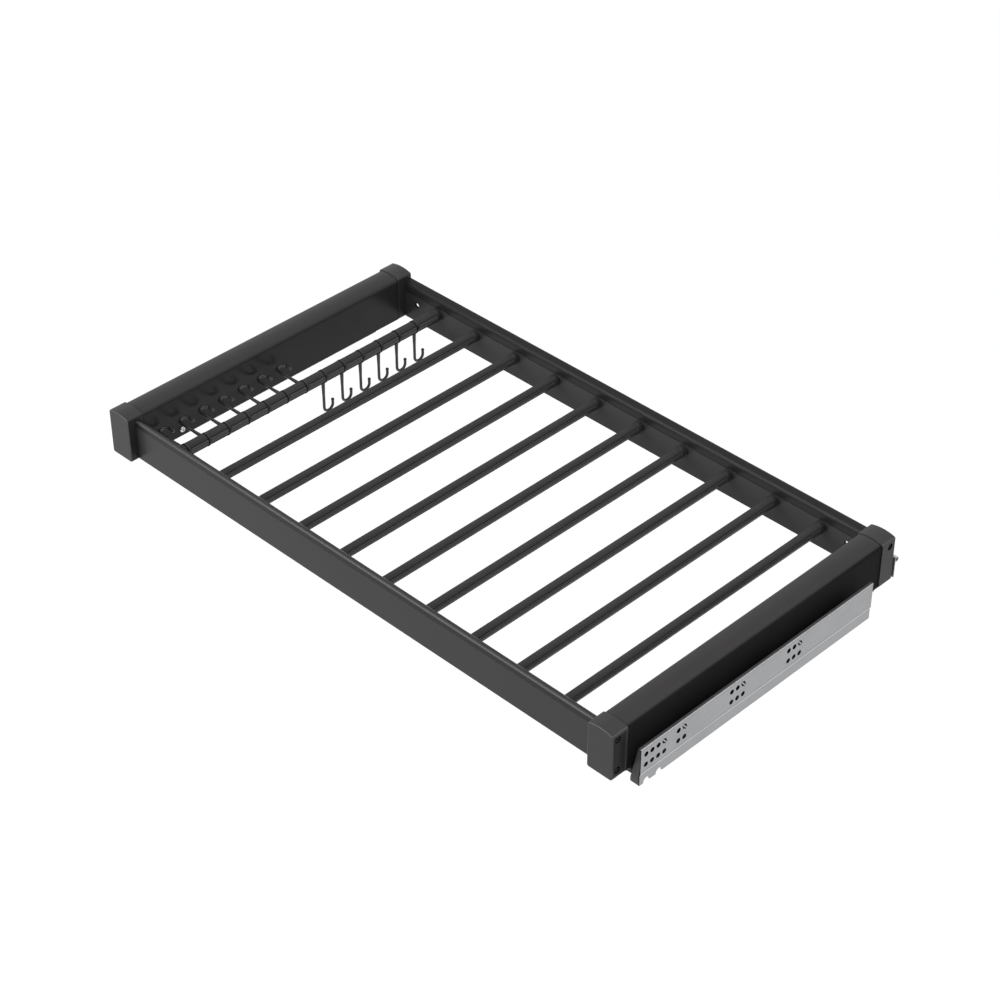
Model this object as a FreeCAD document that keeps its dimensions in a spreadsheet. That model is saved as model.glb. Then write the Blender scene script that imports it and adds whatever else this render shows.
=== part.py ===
import FreeCAD, Part
import math
import os
import re

import Sketcher
from FreeCAD import Placement, Rotation, Vector

# Pull-out trouser rack for a wardrobe, 864 mm between the cabinet sides.
# A rectangular frame of two side beams, two cross rails and four corner blocks carries
# nine trouser rods and one thicker accessory rod with thirteen swing hooks. It runs on two
# full-extension slides that nest in the open underside of the beams and are screwed to
# the cabinet sides by their tall outer flanges.
#
# Lengths are millimetres. Sub-parts are laid out in frame coordinates: X to the right from
# the frame's left face, Y to the rear from its front face, Z up from its underside. The
# cells frame_left, frame_front and frame_floor shift all of it, so that the part's origin
# is the centre of the left slide's fixing line, on the plane of the cabinet side.

doc = FreeCAD.newDocument("trouser_rack")
sizes = doc.addObject("Spreadsheet::Sheet", "sizes")

DRIVING = {
    # whole frame
    "frame_width": 838, "frame_depth": 475, "side_gap": 13,
    # corner blocks
    "block_width": 36, "block_length": 24, "block_side": 62, "crown_radius": 55.5,
    "corner_round": 3, "edge_round": 1, "tenon_length": 12, "tenon_play": 0.5,
    "core_wall": 3, "core_top": 46,
    # side beams
    "beam_inset": 1.2, "beam_width": 34.3, "beam_side": 61.4, "beam_crown_radius": 52,
    "beam_wall": 1.6, "beam_lift": 0.5, "shelf_height": 16, "beam_round": 4.2,
    # cross rails and their caps
    "rail_depth": 11.5, "rail_wall": 1.5, "rail_lift": 0.5, "rail_step": 39.5, "rail_fin": 47.5,
    "front_setback": 12, "rear_setback": 0.5, "cap_recess": 0.1, "cap_shoulder": 54,
    "cap_crest": 56.6, "cap_crest_in": 3.4, "cap_slope_foot": 48, "cap_groove": 1.1,
    # rods
    "rod_height": 31, "rod_pitch": 71.5, "thin_radius": 7, "thin_bore": 5.4,
    "thick_radius": 8.5, "thick_bore": 6.8, "strip_angle": 94, "strip_depth": 0.9,
    "collar_length": 8, "collar_wall": 1.1, "collar_floor": 1.5, "collar_play": 0.05,
    "spigot_radius": 3.5, "spigot_reach": 3, "spigot_play": 0.1,
    "rear_hole_offset": 22.5, "rear_hole_height": 27, "rear_hole_radius": 2.9,
    # hooks on the accessory rod
    "hook_first": 38.2, "hook_pitch": 31.85, "ring_play": 0.15, "ring_wall": 0.5,
    "ring_width": 4.6, "wire_radius": 2.1, "flare_radius": 2.5, "flare_length": 20,
    "bend_radius": 7.2, "hook_reach": 57.4, "tip_rise": 5.5, "ball_radius": 2.3,
    # slides, shared
    "sheet": 1.2, "slide_front": 31, "slide_length": 390,
    # cabinet rails
    "flange_top": 32.5, "joggle": 1, "joggle_height": -2.8, "hem_foot": -19.2,
    "channel_floor": -12, "channel_width": 35, "channel_lip": -5.1, "channel_return": 4,
    "guide_place": 15.5, "guide_return": 4.5, "nose_length": 3,
    "notch_radius": 5, "notch_lift": 1, "first_notch": 11.5, "second_notch": 31,
    "fixing_radius": 3.2, "fixing_pitch": 9.6, "upper_row": 22.5, "lower_row": 8,
    "first_fixing": 37, "second_fixing": 69, "third_fixing": 165, "fourth_fixing": 261,
    "tab_half_length": 3.6, "tab_half_width": 0.9, "tab_angle": 50,
    # edge guards
    "guard_width": 4.4, "guard_drop": 5, "guard_nose": 1.4, "guard_foot": 14, "guard_waist": -13,
    # middle rails
    "middle_web": -8, "middle_edge": 17.4, "middle_leg": 21.2, "middle_top": 11,
    "middle_setback": 2, "channel_centre": 25.25,
    # cages and rolling elements, about a common middle
    "cage_middle": 209,
    "roller_radius": 1.1, "roller_length": 11, "roller_height": -9.4, "roller_pitch": 22,
    "lower_cage_length": 180, "lower_cage_width": 15, "lower_cage_sheet": 1, "window_play": 0.25,
    "ball_bearing_radius": 1.4, "bearing_height": 4, "bearing_pitch": 36, "bearing_centre": 19.5,
    "upper_cage_length": 200, "upper_cage_sheet": 0.8, "upper_cage_top": 12.8,
    "upper_cage_foot": -1, "pocket_play": 0.15,
    # drawer rails
    "drawer_leg": 16.6, "drawer_foot": -4.4, "drawer_front": 26, "drawer_rear": 449,
    "lock_leg_foot": 3, "lock_leg_play": 0.2, "strap_half_width": 5, "tail_stand_off": 2,
    "tail_half_width": 3.6, "tail_place": 15.6, "tail_foot": 2, "tail_top": 27, "bar_foot": 12,
    "bar_top": 20, "eye_radius": 3.4, "eye_bore": 2.1, "slot_half_width": 6.2, "slot_play": 0.6,
    # screws
    "screw_end": 9.5, "screw_low": 10, "screw_high": 53, "screw_head": 3.5, "screw_head_depth": 2.2,
    "screw_shank": 2, "screw_length": 16, "sink_radius": 4.2, "sink_depth": 3, "screw_play": 0.1,
    "lock_screw_place": 81, "lock_screw_height": 9.5, "lock_head": 3.8, "lock_head_depth": 2.4,
}
for row, (alias, number) in enumerate(DRIVING.items(), start=1):
    sizes.set(f"A{row}", alias)
    sizes.set(f"B{row}", str(number))
    sizes.setAlias(f"B{row}", alias)
row = len(DRIVING) + 1
for alias, formula in (("frame_left", "=side_gap"),
                       ("frame_front", "=-(slide_front + (first_fixing + fourth_fixing) / 2)"),
                       ("frame_floor", "=-lower_row"),
                       ("rod_span", "=frame_depth - front_setback - 2 * rail_depth - rear_setback")):
    sizes.set(f"A{row}", alias)
    sizes.set(f"B{row}", formula)
    sizes.setAlias(f"B{row}", alias)
    row += 1
doc.recompute()

FUNCTIONS = {"sin", "cos", "deg", "sqrt"}
ALONG_X = Rotation(Vector(0, 1, 0), 90)
ALONG_Y = Rotation(Vector(1, 0, 0), -90)
UPRIGHT = Rotation()
TURNED = Rotation(Vector(0, 0, 1), 180)
subparts = []


# ---- binding to the sheet ---------------------------------------------------------------
def bound(formula):
    """The formula with each size's name written as a reference to its cell."""
    return re.sub(r"[A-Za-z_]\w*",
                  lambda word: word[0] if word[0] in FUNCTIONS else "sizes." + word[0],
                  str(formula))


def number(formula):
    """The formula's present value."""
    result = sizes.evalExpression(bound(formula))
    return float(getattr(result, "Value", result))


def bind(thing, **formulas):
    for name, formula in formulas.items():
        thing.setExpression(name, bound(formula))


def place(thing, x, y, z, turn=UPRIGHT):
    """Puts a thing at a point in frame coordinates."""
    thing.Placement = Placement(Vector(), turn)
    for axis, formula, shift in (("x", x, "frame_left"), ("y", y, "frame_front"),
                                 ("z", z, "frame_floor")):
        thing.setExpression("Placement.Base." + axis, bound(f"({formula}) + {shift}"))
    return thing


def subpart(thing, label):
    """Names a finished sub-part and lists it for export."""
    thing.Label = label
    subparts.append(thing)
    return thing


# ---- solids -----------------------------------------------------------------------------
def box(name, x, y, z):
    """A box between pairs of bounds."""
    thing = doc.addObject("Part::Box", name)
    bind(thing, Length=f"({x[1]}) - ({x[0]})", Width=f"({y[1]}) - ({y[0]})",
         Height=f"({z[1]}) - ({z[0]})")
    return place(thing, x[0], y[0], z[0])


def rod(name, radius, length, x, y, z, turn):
    thing = doc.addObject("Part::Cylinder", name)
    bind(thing, Radius=radius, Height=length)
    return place(thing, x, y, z, turn)


def ball(name, radius, x, y, z):
    thing = doc.addObject("Part::Sphere", name)
    bind(thing, Radius=radius)
    return place(thing, x, y, z)


def fused(name, things):
    thing = doc.addObject("Part::MultiFuse", name)
    thing.Shapes = things
    return thing


def group(name, things):
    """Separate solids that share one node."""
    thing = doc.addObject("Part::Compound", name)
    thing.Links = things
    return thing


def cut(name, base, tools):
    thing = doc.addObject("Part::Cut", name)
    thing.Base = base
    thing.Tool = tools[0] if len(tools) == 1 else fused(name + "_tools", tools)
    return thing


def arc_between(first, second, radius, convex):
    """The short arc between two points, bulging out of an outline drawn anticlockwise."""
    chord = second - first
    rise = math.sqrt(radius ** 2 - chord.Length ** 2 / 4)
    left = Vector(-chord.y, chord.x, 0).normalize()
    centre = (first + second) / 2 + left * (rise if convex else -rise)
    ends = (first, second) if convex else (second, first)
    start, stop = (math.atan2(end.y - centre.y, end.x - centre.x) for end in ends)
    return Part.ArcOfCircle(Part.Circle(centre, Vector(0, 0, 1), radius), start, stop)


def draw_loop(sketch, corners):
    """Draws a closed loop of corners (x, y) or (x, y, radius): a radius, minus for a hollow
    curve, makes the edge that leaves the corner an arc. Each corner is fixed by the sheet."""
    points = [Vector(number(corner[0]), number(corner[1]), 0) for corner in corners]
    edges = []
    for index, corner in enumerate(corners):
        first, second = points[index], points[(index + 1) % len(points)]
        if len(corner) == 2:
            edges.append((sketch.addGeometry(Part.LineSegment(first, second), False), 1, 2))
            continue
        convex = not corner[2].startswith("-")
        radius = corner[2].lstrip("-")
        arc = arc_between(first, second, number(radius), convex)
        edge = (sketch.addGeometry(arc, False),) + ((1, 2) if convex else (2, 1))
        size = sketch.addConstraint(Sketcher.Constraint("Radius", edge[0], arc.Radius))
        sketch.setExpression(f"Constraints[{size}]", bound(radius))
        edges.append(edge)
    for index, (edge, start, _) in enumerate(edges):
        last, _, stop = edges[index - 1]
        sketch.addConstraint(Sketcher.Constraint("Coincident", last, stop, edge, start))
        for way, here, formula in (("DistanceX", points[index].x, corners[index][0]),
                                   ("DistanceY", points[index].y, corners[index][1])):
            size = sketch.addConstraint(Sketcher.Constraint(way, -1, 1, edge, start, here))
            sketch.setExpression(f"Constraints[{size}]", bound(formula))


def extrusion(name, plane, loops, length):
    """A body whose section, on the XZ or YZ plane, is padded along +Y or +X."""
    body = doc.addObject("PartDesign::Body", name)
    origin_plane = next(item for item in body.Origin.OriginFeatures if item.Role == plane)
    sketch = body.newObject("Sketcher::SketchObject", name + "_section")
    sketch.AttachmentSupport = [(origin_plane, "")]
    sketch.MapMode = "FlatFace"
    for loop in loops:
        draw_loop(sketch, loop)
    pad = body.newObject("PartDesign::Pad", name + "_pad")
    pad.Profile = sketch
    pad.Reversed = plane == "XZ_Plane"
    bind(pad, Length=length)
    body.Tip = pad
    return body


def round_edges(body, radius, chosen):
    """Rounds the edges of a body's last feature that the test picks."""
    doc.recompute()
    base = body.Tip
    names = [f"Edge{count}" for count, edge in enumerate(base.Shape.Edges, start=1)
             if chosen(edge.BoundBox)]
    fillet = body.newObject("PartDesign::Fillet", base.Name + "_round")
    fillet.Base = (base, names)
    bind(fillet, Radius=radius)
    body.Tip = fillet
    return body


# ---- left and right ---------------------------------------------------------------------
# Slide parts are measured inward from the plane of their own cabinet side.
SIDES = ("left", "right")


def inward(side, distance):
    """Frame X of a plane at a distance inward from the cabinet side."""
    if side == "left":
        return f"({distance}) - side_gap"
    return f"frame_width + side_gap - ({distance})"


def slab(name, side, across, y, z):
    """A box whose first pair of bounds is inward distances."""
    near, far = across if side == "left" else across[::-1]
    return box(name, (inward(side, near), inward(side, far)), y, z)


def pin(name, side, radius, across, y, z):
    """A cylinder along X between two inward distances."""
    near, far = across if side == "left" else across[::-1]
    return rod(name, radius, f"{across[1]} - ({across[0]})", inward(side, near), y, z, ALONG_X)


def side_extrusion(name, side, loops, y):
    """A section in inward distance and height, run between two values of Y."""
    body = extrusion(name, "XZ_Plane", loops, f"({y[1]}) - ({y[0]})")
    if side == "left":
        return place(body, inward(side, 0), y[0], 0)
    return place(body, inward(side, 0), y[1], 0, TURNED)


BEAM_OUTER = "side_gap + beam_inset"
BEAM_INNER = "side_gap + beam_inset + beam_width"
BLOCK_OUTER = "side_gap"
BLOCK_INNER = "side_gap + block_width"


# ---- corner blocks ----------------------------------------------------------------------
# Die-cast blocks with a crowned top, cored out from the beam's end. One tenon plugs into
# the beam, one into the rail. A slot in the rear blocks lets the slide's members pass. Pan
# head screws are sunk in the outer face: two in each front block, one in each rear block.
SCREW_LEVELS = {"front": ("screw_low", "screw_high"), "rear": ("screw_high",)}


def corner_block(end, side):
    name = f"{end}_{side}_corner"
    front = "0" if end == "front" else "frame_depth - block_length"
    section = [("corner_round", "0"), ("block_width - corner_round", "0", "corner_round"),
               ("block_width", "corner_round"), ("block_width", "block_side", "crown_radius"),
               ("0", "block_side"), ("0", "corner_round", "corner_round")]
    body = extrusion(name + "_body", "XZ_Plane", [section], "block_length")
    depth = number("block_length")
    crown_foot = number("block_side") - 1
    round_edges(body, "edge_round",
                lambda bounds: bounds.YLength < 0.01 or
                (bounds.YLength > depth - 0.01 and bounds.ZMin > crown_foot))
    place(body, "0" if side == "left" else "frame_width - block_width", front, "0")

    beam_tenon_y = ("block_length - 2", "block_length + tenon_length")
    rail_y = ("front_setback + rail_wall", "front_setback + rail_depth - rail_wall")
    if end == "rear":
        beam_tenon_y = ("frame_depth - block_length - tenon_length",
                        "frame_depth - block_length + 2")
        rail_y = ("frame_depth - rear_setback - rail_depth + rail_wall",
                  "frame_depth - rear_setback - rail_wall")
    beam_tenon = slab(name + "_beam_tenon", side,
                      (BEAM_OUTER + " + beam_wall + tenon_play",
                       BEAM_INNER + " - beam_wall - tenon_play"), beam_tenon_y,
                      ("shelf_height + beam_wall + tenon_play",
                       "beam_side - beam_wall - tenon_play"))
    rail_tenon = slab(name + "_rail_tenon", side,
                      (BLOCK_INNER + " - 2", BLOCK_INNER + " + tenon_length"),
                      (rail_y[0] + " + tenon_play", rail_y[1] + " - tenon_play"),
                      ("rail_lift + rail_wall + tenon_play",
                       "rail_step - rail_wall - tenon_play"))
    solid = fused(name + "_solid", [body, beam_tenon, rail_tenon])

    screw_y = "screw_end" if end == "front" else "frame_depth - screw_end"
    core_y = ("core_wall", "block_length + tenon_length + 1")
    if end == "rear":
        core_y = ("frame_depth - block_length - tenon_length - 1", "frame_depth - core_wall")
    tools = [slab(name + "_core", side,
                  (BEAM_OUTER + " + beam_wall + tenon_play + core_wall",
                   BEAM_INNER + " - beam_wall - tenon_play - core_wall"), core_y,
                  ("shelf_height + beam_wall + tenon_play + core_wall", "core_top"))]
    for level in SCREW_LEVELS[end]:
        tools.append(pin(f"{name}_{level}_sink", side, "sink_radius",
                         (BLOCK_OUTER + " - 1", BLOCK_OUTER + " + sink_depth"), screw_y, level))
        tools.append(pin(f"{name}_{level}_hole", side, "screw_shank + screw_play",
                         (BLOCK_OUTER, BLOCK_OUTER + " + sink_depth + screw_length + 1"),
                         screw_y, level))
    if end == "rear":
        tools.append(slab(name + "_slot", side,
                          ("channel_centre - slot_half_width", "channel_centre + slot_half_width"),
                          ("frame_depth - block_length - tenon_length - 1", "frame_depth + 1"),
                          ("-1", "shelf_height + slot_play")))
    subpart(cut(name, solid, tools), name)


for end in ("front", "rear"):
    for side in SIDES:
        corner_block(end, side)


def sunk_screw(name, side, y, z):
    head_start = BLOCK_OUTER + " + sink_depth - screw_head_depth"
    head = pin(name + "_head", side, "screw_head", (head_start, BLOCK_OUTER + " + sink_depth"), y, z)
    shank = pin(name + "_shank", side, "screw_shank",
                (head_start, BLOCK_OUTER + " + sink_depth + screw_length"), y, z)
    solid = fused(name + "_solid", [head, shank])
    arms = [slab(f"{name}_{way}_recess", side, (head_start + " - 1", head_start + " + 1.4"),
                 (f"{y} - {half_y}", f"{y} + {half_y}"), (f"{z} - {half_z}", f"{z} + {half_z}"))
            for way, half_y, half_z in (("level", 2, 0.45), ("upright", 0.45, 2))]
    return cut(name, solid, arms)


subpart(group("corner_screws",
              [sunk_screw(f"screw_{end}_{side}_{level}", side, y, level)
               for end, y in (("front", "screw_end"), ("rear", "(frame_depth - screw_end)"))
               for side in SIDES for level in SCREW_LEVELS[end]]), "corner_screws")


# ---- side beams -------------------------------------------------------------------------
# Hollow aluminium extrusions with a crowned top: a closed chamber above a shelf, and below
# the shelf a channel, open underneath, that hides the slide.
def side_beam(side):
    name = f"{side}_beam"
    wall, width, shelf = "beam_wall", "beam_width", "(shelf_height - beam_lift)"
    top = "(beam_side - beam_lift)"
    outside = [("0", "0"), (wall, "0"), (wall, shelf), (f"{width} - {wall}", shelf),
               (f"{width} - {wall}", "0"), (width, "0"), (width, top, "beam_crown_radius"),
               ("0", top)]
    chamber = [(wall, f"{shelf} + {wall}"), (f"{width} - {wall}", f"{shelf} + {wall}"),
               (f"{width} - {wall}", f"{top} - {wall} / 2", "beam_crown_radius"),
               (wall, f"{top} - {wall} / 2")]
    body = side_extrusion(name + "_body", side, [outside, chamber],
                          ("block_length", "frame_depth - block_length"))
    crown_foot = number(top) - 1
    full_width = number(width)
    round_edges(body, "beam_round",
                lambda bounds: bounds.YLength > 100 and bounds.ZMin > crown_foot and
                (bounds.XMin < 0.01 or bounds.XMax > full_width - 0.01))
    length_y = "block_length" if side == "left" else "frame_depth - block_length"
    place(body, inward(side, BEAM_OUTER), length_y, "beam_lift",
          UPRIGHT if side == "left" else TURNED)
    hole = pin(name + "_hole", side, "screw_shank + screw_play",
               (BEAM_INNER + " - 3", BEAM_INNER + " + 1"), "lock_screw_place",
               "lock_screw_height")
    subpart(cut(name, body, [hole]), name)


for side in SIDES:
    side_beam(side)


# ---- cross rails and caps ---------------------------------------------------------------
# Extrusions whose outer wall stands up as a fin: the front one is a closed hollow, the rear
# one a channel open to the rear. A separate hood profile sits on the fin and the step
# behind it, a fine groove below its inner edge. The rods' spigots enter the inner wall.
ROD_MIDDLE = "frame_width / 2"


def rod_x(index):
    """X of a rod: number 0 is the accessory rod, 1 to 9 the trouser rods."""
    return f"{ROD_MIDDLE} + rod_pitch * ({index} - 4.5)"


FRONT_INNER = "front_setback + rail_depth"
REAR_INNER = "frame_depth - rear_setback - rail_depth"


def rail_run(name, end, loops):
    """A section in depth from the outer face and height, run between the corner blocks."""
    body = extrusion(name, "YZ_Plane", loops, "frame_width - 2 * block_width")
    if end == "front":
        return place(body, "block_width", "front_setback", "0")
    return place(body, "frame_width - block_width", "frame_depth - rear_setback", "0", TURNED)


def cross_rail(end):
    deep, wall, lift = "rail_depth", "rail_wall", "rail_lift"
    edge = [("0", lift), (deep, lift), (deep, "rail_step"), (wall, "rail_step"),
            (wall, "rail_fin"), ("0", "rail_fin")]
    hollow = [(wall, f"{lift} + {wall}"), (f"{deep} - {wall}", f"{lift} + {wall}"),
              (f"{deep} - {wall}", f"rail_step - {wall}"), (wall, f"rail_step - {wall}")]
    loops = [edge, hollow]
    if end == "rear":
        mouth = [("0", f"rail_step - {wall}"), (f"{deep} - {wall}", f"rail_step - {wall}"),
                 (f"{deep} - {wall}", f"{lift} + {wall}"), ("0", f"{lift} + {wall}")]
        loops = [edge + mouth]
    body = rail_run(f"{end}_rail_body", end, loops)
    wall_start = FRONT_INNER + " - rail_wall - 0.5" if end == "front" else REAR_INNER + " - 0.5"
    tools = [rod(f"{end}_rail_socket_{index}", "spigot_radius + spigot_play", "rail_wall + 1",
                 rod_x(index), wall_start, "rod_height", ALONG_Y) for index in range(10)]
    if end == "rear":
        for side in SIDES:
            tools.append(rod(f"rear_rail_{side}_hole", "rear_hole_radius", "rail_wall + 2",
                             inward(side, BLOCK_INNER + " + rear_hole_offset"),
                             REAR_INNER + " - 1", "rear_hole_height", ALONG_Y))
    subpart(cut(f"{end}_rail", body, tools), f"{end}_rail")


def rail_cap(end):
    deep, wall = "rail_depth", "rail_wall"
    outside = [(f"{wall} + 0.5", "rail_step"), (f"{deep} - cap_groove", "rail_step"),
               (f"{deep} - cap_groove", "rail_step + cap_groove"),
               (deep, "rail_step + cap_groove"), (deep, "cap_slope_foot", "10.5"),
               ("cap_crest_in", "cap_crest", "3.2"), ("cap_recess", "cap_shoulder"),
               ("cap_recess", "rail_fin + 0.1"), (f"{wall} + 0.5", "rail_fin + 0.1")]
    hollow = [(f"2 * {wall} + 0.5", f"rail_step + {wall}"),
              (f"{deep} - cap_groove - 0.9", f"rail_step + {wall}"),
              (f"{deep} - cap_groove - 0.9", f"cap_slope_foot - {wall} / 2"),
              (f"2 * {wall} + 0.5", f"cap_crest - 2.2 * {wall}")]
    body = rail_run(f"{end}_rail_cap", end, [outside, hollow])
    subpart(body, f"{end}_rail_cap")


for end in ("front", "rear"):
    cross_rail(end)
    rail_cap(end)


# ---- rods -------------------------------------------------------------------------------
# Aluminium tubes along Y. An anti-slip strip lies flush in a recess along the top. A collar
# with a spigot holds each end in the rail.
ROD_START = FRONT_INNER + " + collar_floor"
ROD_LENGTH = "rod_span - 2 * collar_floor"


def top_sector(name, radius, x):
    """A sector of a cylinder along Y, centred on the top."""
    thing = doc.addObject("Part::Cylinder", name)
    bind(thing, Radius=radius, Height=ROD_LENGTH, Angle="strip_angle")
    half = number("strip_angle") / 2
    place(thing, x, ROD_START, "rod_height", ALONG_Y * Rotation(Vector(0, 0, 1), -90 - half))
    return thing


def tube_and_strip(name, index, radius, bore):
    x = rod_x(index)
    blank = rod(name + "_blank", radius, ROD_LENGTH, x, ROD_START, "rod_height", ALONG_Y)
    hollow = rod(name + "_hollow", bore, ROD_LENGTH, x, ROD_START, "rod_height", ALONG_Y)
    core = rod(name + "_core", f"{radius} - strip_depth", ROD_LENGTH, x, ROD_START,
               "rod_height", ALONG_Y)
    strip = cut(name + "_strip", top_sector(name + "_sector", radius, x), [core])
    return cut(name, blank, [hollow, strip]), strip


def collar(name, index, radius, end):
    x, floor_y = rod_x(index), FRONT_INNER
    spigot_y, bore_y = FRONT_INNER + " - spigot_reach", FRONT_INNER + " + collar_floor"
    if end == "rear":
        floor_y, spigot_y, bore_y = (REAR_INNER + " - collar_length", REAR_INNER + " - 0.5",
                                     REAR_INNER + " - collar_length - 1")
    shell = rod(name + "_shell", f"{radius} + collar_wall", "collar_length", x, floor_y,
                "rod_height", ALONG_Y)
    spigot = rod(name + "_spigot", "spigot_radius", "spigot_reach + 0.5", x, spigot_y,
                 "rod_height", ALONG_Y)
    bore = rod(name + "_bore", f"{radius} + collar_play", "collar_length - collar_floor + 1", x,
               bore_y, "rod_height", ALONG_Y)
    return cut(name, fused(name + "_solid", [shell, spigot]), [bore])


strips = []
for index in range(1, 10):
    tube, strip = tube_and_strip(f"trouser_rod_{index}", index, "thin_radius", "thin_bore")
    subpart(tube, f"trouser_rod_{index}")
    strips.append(strip)
subpart(group("rod_grip_strips", strips), "rod_grip_strips")
for end in ("front", "rear"):
    subpart(group(f"{end}_rod_collars", [collar(f"{end}_collar_{index}", index, "thin_radius", end)
                                         for index in range(1, 10)]), f"{end}_rod_collars")

tube, strip = tube_and_strip("accessory_rod", 0, "thick_radius", "thick_bore")
subpart(tube, "accessory_rod")
subpart(strip, "accessory_rod_strip")
subpart(group("accessory_rod_collars", [collar(f"{end}_accessory_collar", 0, "thick_radius", end)
                                        for end in ("front", "rear")]), "accessory_rod_collars")


# ---- hooks ------------------------------------------------------------------------------
# Moulded hooks, alike, each with a slim ring that turns on the accessory rod, a stem that
# flares under the ring, and a J that opens to the rear and ends in a ball. The front seven
# are swung up level towards the left beam. The rear six hang.
HOOK_COUNT = 13
LEVEL_HOOKS = 7


def hook(index):
    name = f"hook_{index + 1:02d}"
    bend_centre = "hook_reach - wire_radius - bend_radius"

    def primitive(kind, part, **formulas):
        thing = doc.addObject(kind, f"{name}_{part}")
        bind(thing, **formulas)
        return thing

    def at(thing, y, z, turn=UPRIGHT):
        thing.Placement = Placement(Vector(), turn)
        bind(thing, **{"Placement.Base.y": y, "Placement.Base.z": z})
        return thing

    ring_bore = "thick_radius + ring_play"
    ring = at(primitive("Part::Cylinder", "ring", Radius=f"{ring_bore} + ring_wall",
                        Height="ring_width"), "-ring_width / 2", "0", ALONG_Y)
    stem_top = f"-({ring_bore} + 0.4)"
    flare = at(primitive("Part::Cone", "flare", Radius1="wire_radius", Radius2="flare_radius",
                         Height="flare_length"), "0", f"{stem_top} - flare_length")
    stem = at(primitive("Part::Cylinder", "stem", Radius="wire_radius",
                        Height=f"{bend_centre} - {ring_bore} - 1"), "0", f"-({bend_centre})")
    bend = at(primitive("Part::Torus", "bend", Radius1="bend_radius", Radius2="wire_radius"),
              "bend_radius", f"-({bend_centre})", ALONG_X * Rotation(Vector(0, 0, 1), -90))
    bend.Angle3 = 180
    tip = at(primitive("Part::Cylinder", "tip", Radius="wire_radius", Height="tip_rise"),
             "2 * bend_radius", f"-({bend_centre})")
    knob = at(primitive("Part::Sphere", "knob", Radius="ball_radius"),
              "2 * bend_radius", f"tip_rise - ({bend_centre})")
    solid = fused(name + "_solid", [ring, flare, stem, bend, tip, knob])
    bore = at(primitive("Part::Cylinder", "bore", Radius=ring_bore, Height="ring_width + 20"),
              "-ring_width / 2 - 10", "0", ALONG_Y)
    whole = cut(name, solid, [bore])
    level = Rotation(Vector(0, 1, 0), 90)
    place(whole, rod_x(0), f"hook_first + hook_pitch * {index}", "rod_height",
          level if index < LEVEL_HOOKS else UPRIGHT)
    subpart(whole, name)


for index in range(HOOK_COUNT):
    hook(index)


# ---- slides: cabinet rails --------------------------------------------------------------
# Galvanised sheet. A tall flange lies on the cabinet side and is screwed to it. Below its
# joggle the sheet turns back in a hem, then in as a channel under the beam that carries
# the middle rail.
SLIDE_REAR = "slide_front + slide_length"
FIXINGS = (("first_fixing", 4), ("second_fixing", 2), ("third_fixing", 3), ("fourth_fixing", 3))


def sloping_tab(name, side, y, z):
    """A bar left in the sheet across one hole, sloping down to the rear."""
    along, rise = "tab_half_length", "tab_half_width"
    bar = box(name, ("0", "sheet"), ("0", f"2 * {along}"), ("0", f"2 * {rise}"))
    start = inward(side, "0" if side == "left" else "sheet")
    place(bar, start, f"{y} - {along} * cos(tab_angle) - {rise} * sin(tab_angle)",
          f"{z} + {along} * sin(tab_angle) - {rise} * cos(tab_angle)",
          Rotation(Vector(1, 0, 0), -number("tab_angle")))
    return bar


def cabinet_rail(side):
    name = f"{side}_cabinet_rail"
    floor, lip, inner = "channel_floor", "channel_lip", "channel_width"
    section = [("joggle", "hem_foot"), ("joggle + 2 * sheet", "hem_foot"),
               ("joggle + 2 * sheet", floor), (inner, floor), (inner, lip),
               (f"{inner} - channel_return", lip), (f"{inner} - channel_return", f"{lip} - sheet"),
               (f"{inner} - sheet", f"{lip} - sheet"), (f"{inner} - sheet", f"{floor} + sheet"),
               ("joggle + sheet", f"{floor} + sheet"),
               ("joggle + sheet", "joggle_height - 0.6"), ("sheet", "joggle_height + 0.6"),
               ("sheet", "flange_top"), ("0", "flange_top"), ("0", "joggle_height"),
               ("joggle", "joggle_height - 1.2")]
    body = side_extrusion(name + "_body", side, [section], ("slide_front", SLIDE_REAR))
    channel_y = ("slide_front + nose_length", SLIDE_REAR)
    guide = slab(name + "_guide", side, ("guide_place", "guide_place + sheet"), channel_y,
                 (f"{floor} + sheet / 2", lip))
    guide_return = slab(name + "_guide_return", side, ("guide_place", "guide_place + guide_return"),
                        channel_y, (f"{lip} - sheet", lip))
    tabs = []
    tools = [slab(name + "_nose_gap", side, ("joggle + sheet + 0.02", f"{inner} + 1"),
                  ("slide_front - 1", "slide_front + nose_length"), ("hem_foot - 1", lip + " + 1"))]
    for notch in ("first_notch", "second_notch"):
        tools.append(pin(f"{name}_{notch}", side, "notch_radius",
                         ("-1", "joggle + 2 * sheet + 1"), f"slide_front + {notch}",
                         "hem_foot + notch_lift"))
    for cell, columns in FIXINGS:
        for column in range(columns):
            y = f"slide_front + {cell} - fixing_pitch * {column}"
            for level in ("lower_row", "upper_row"):
                hole = f"{name}_{cell}_{column}_{level}"
                tools.append(pin(hole, side, "fixing_radius", ("-1", "sheet + 1"), y, level))
        tabs.append(sloping_tab(f"{name}_{cell}_tab", side, f"slide_front + {cell}", "upper_row"))
    pierced = cut(name + "_pierced", fused(name + "_solid", [body, guide, guide_return]),
                  tools)
    subpart(fused(name, [pierced] + tabs), name)


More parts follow.
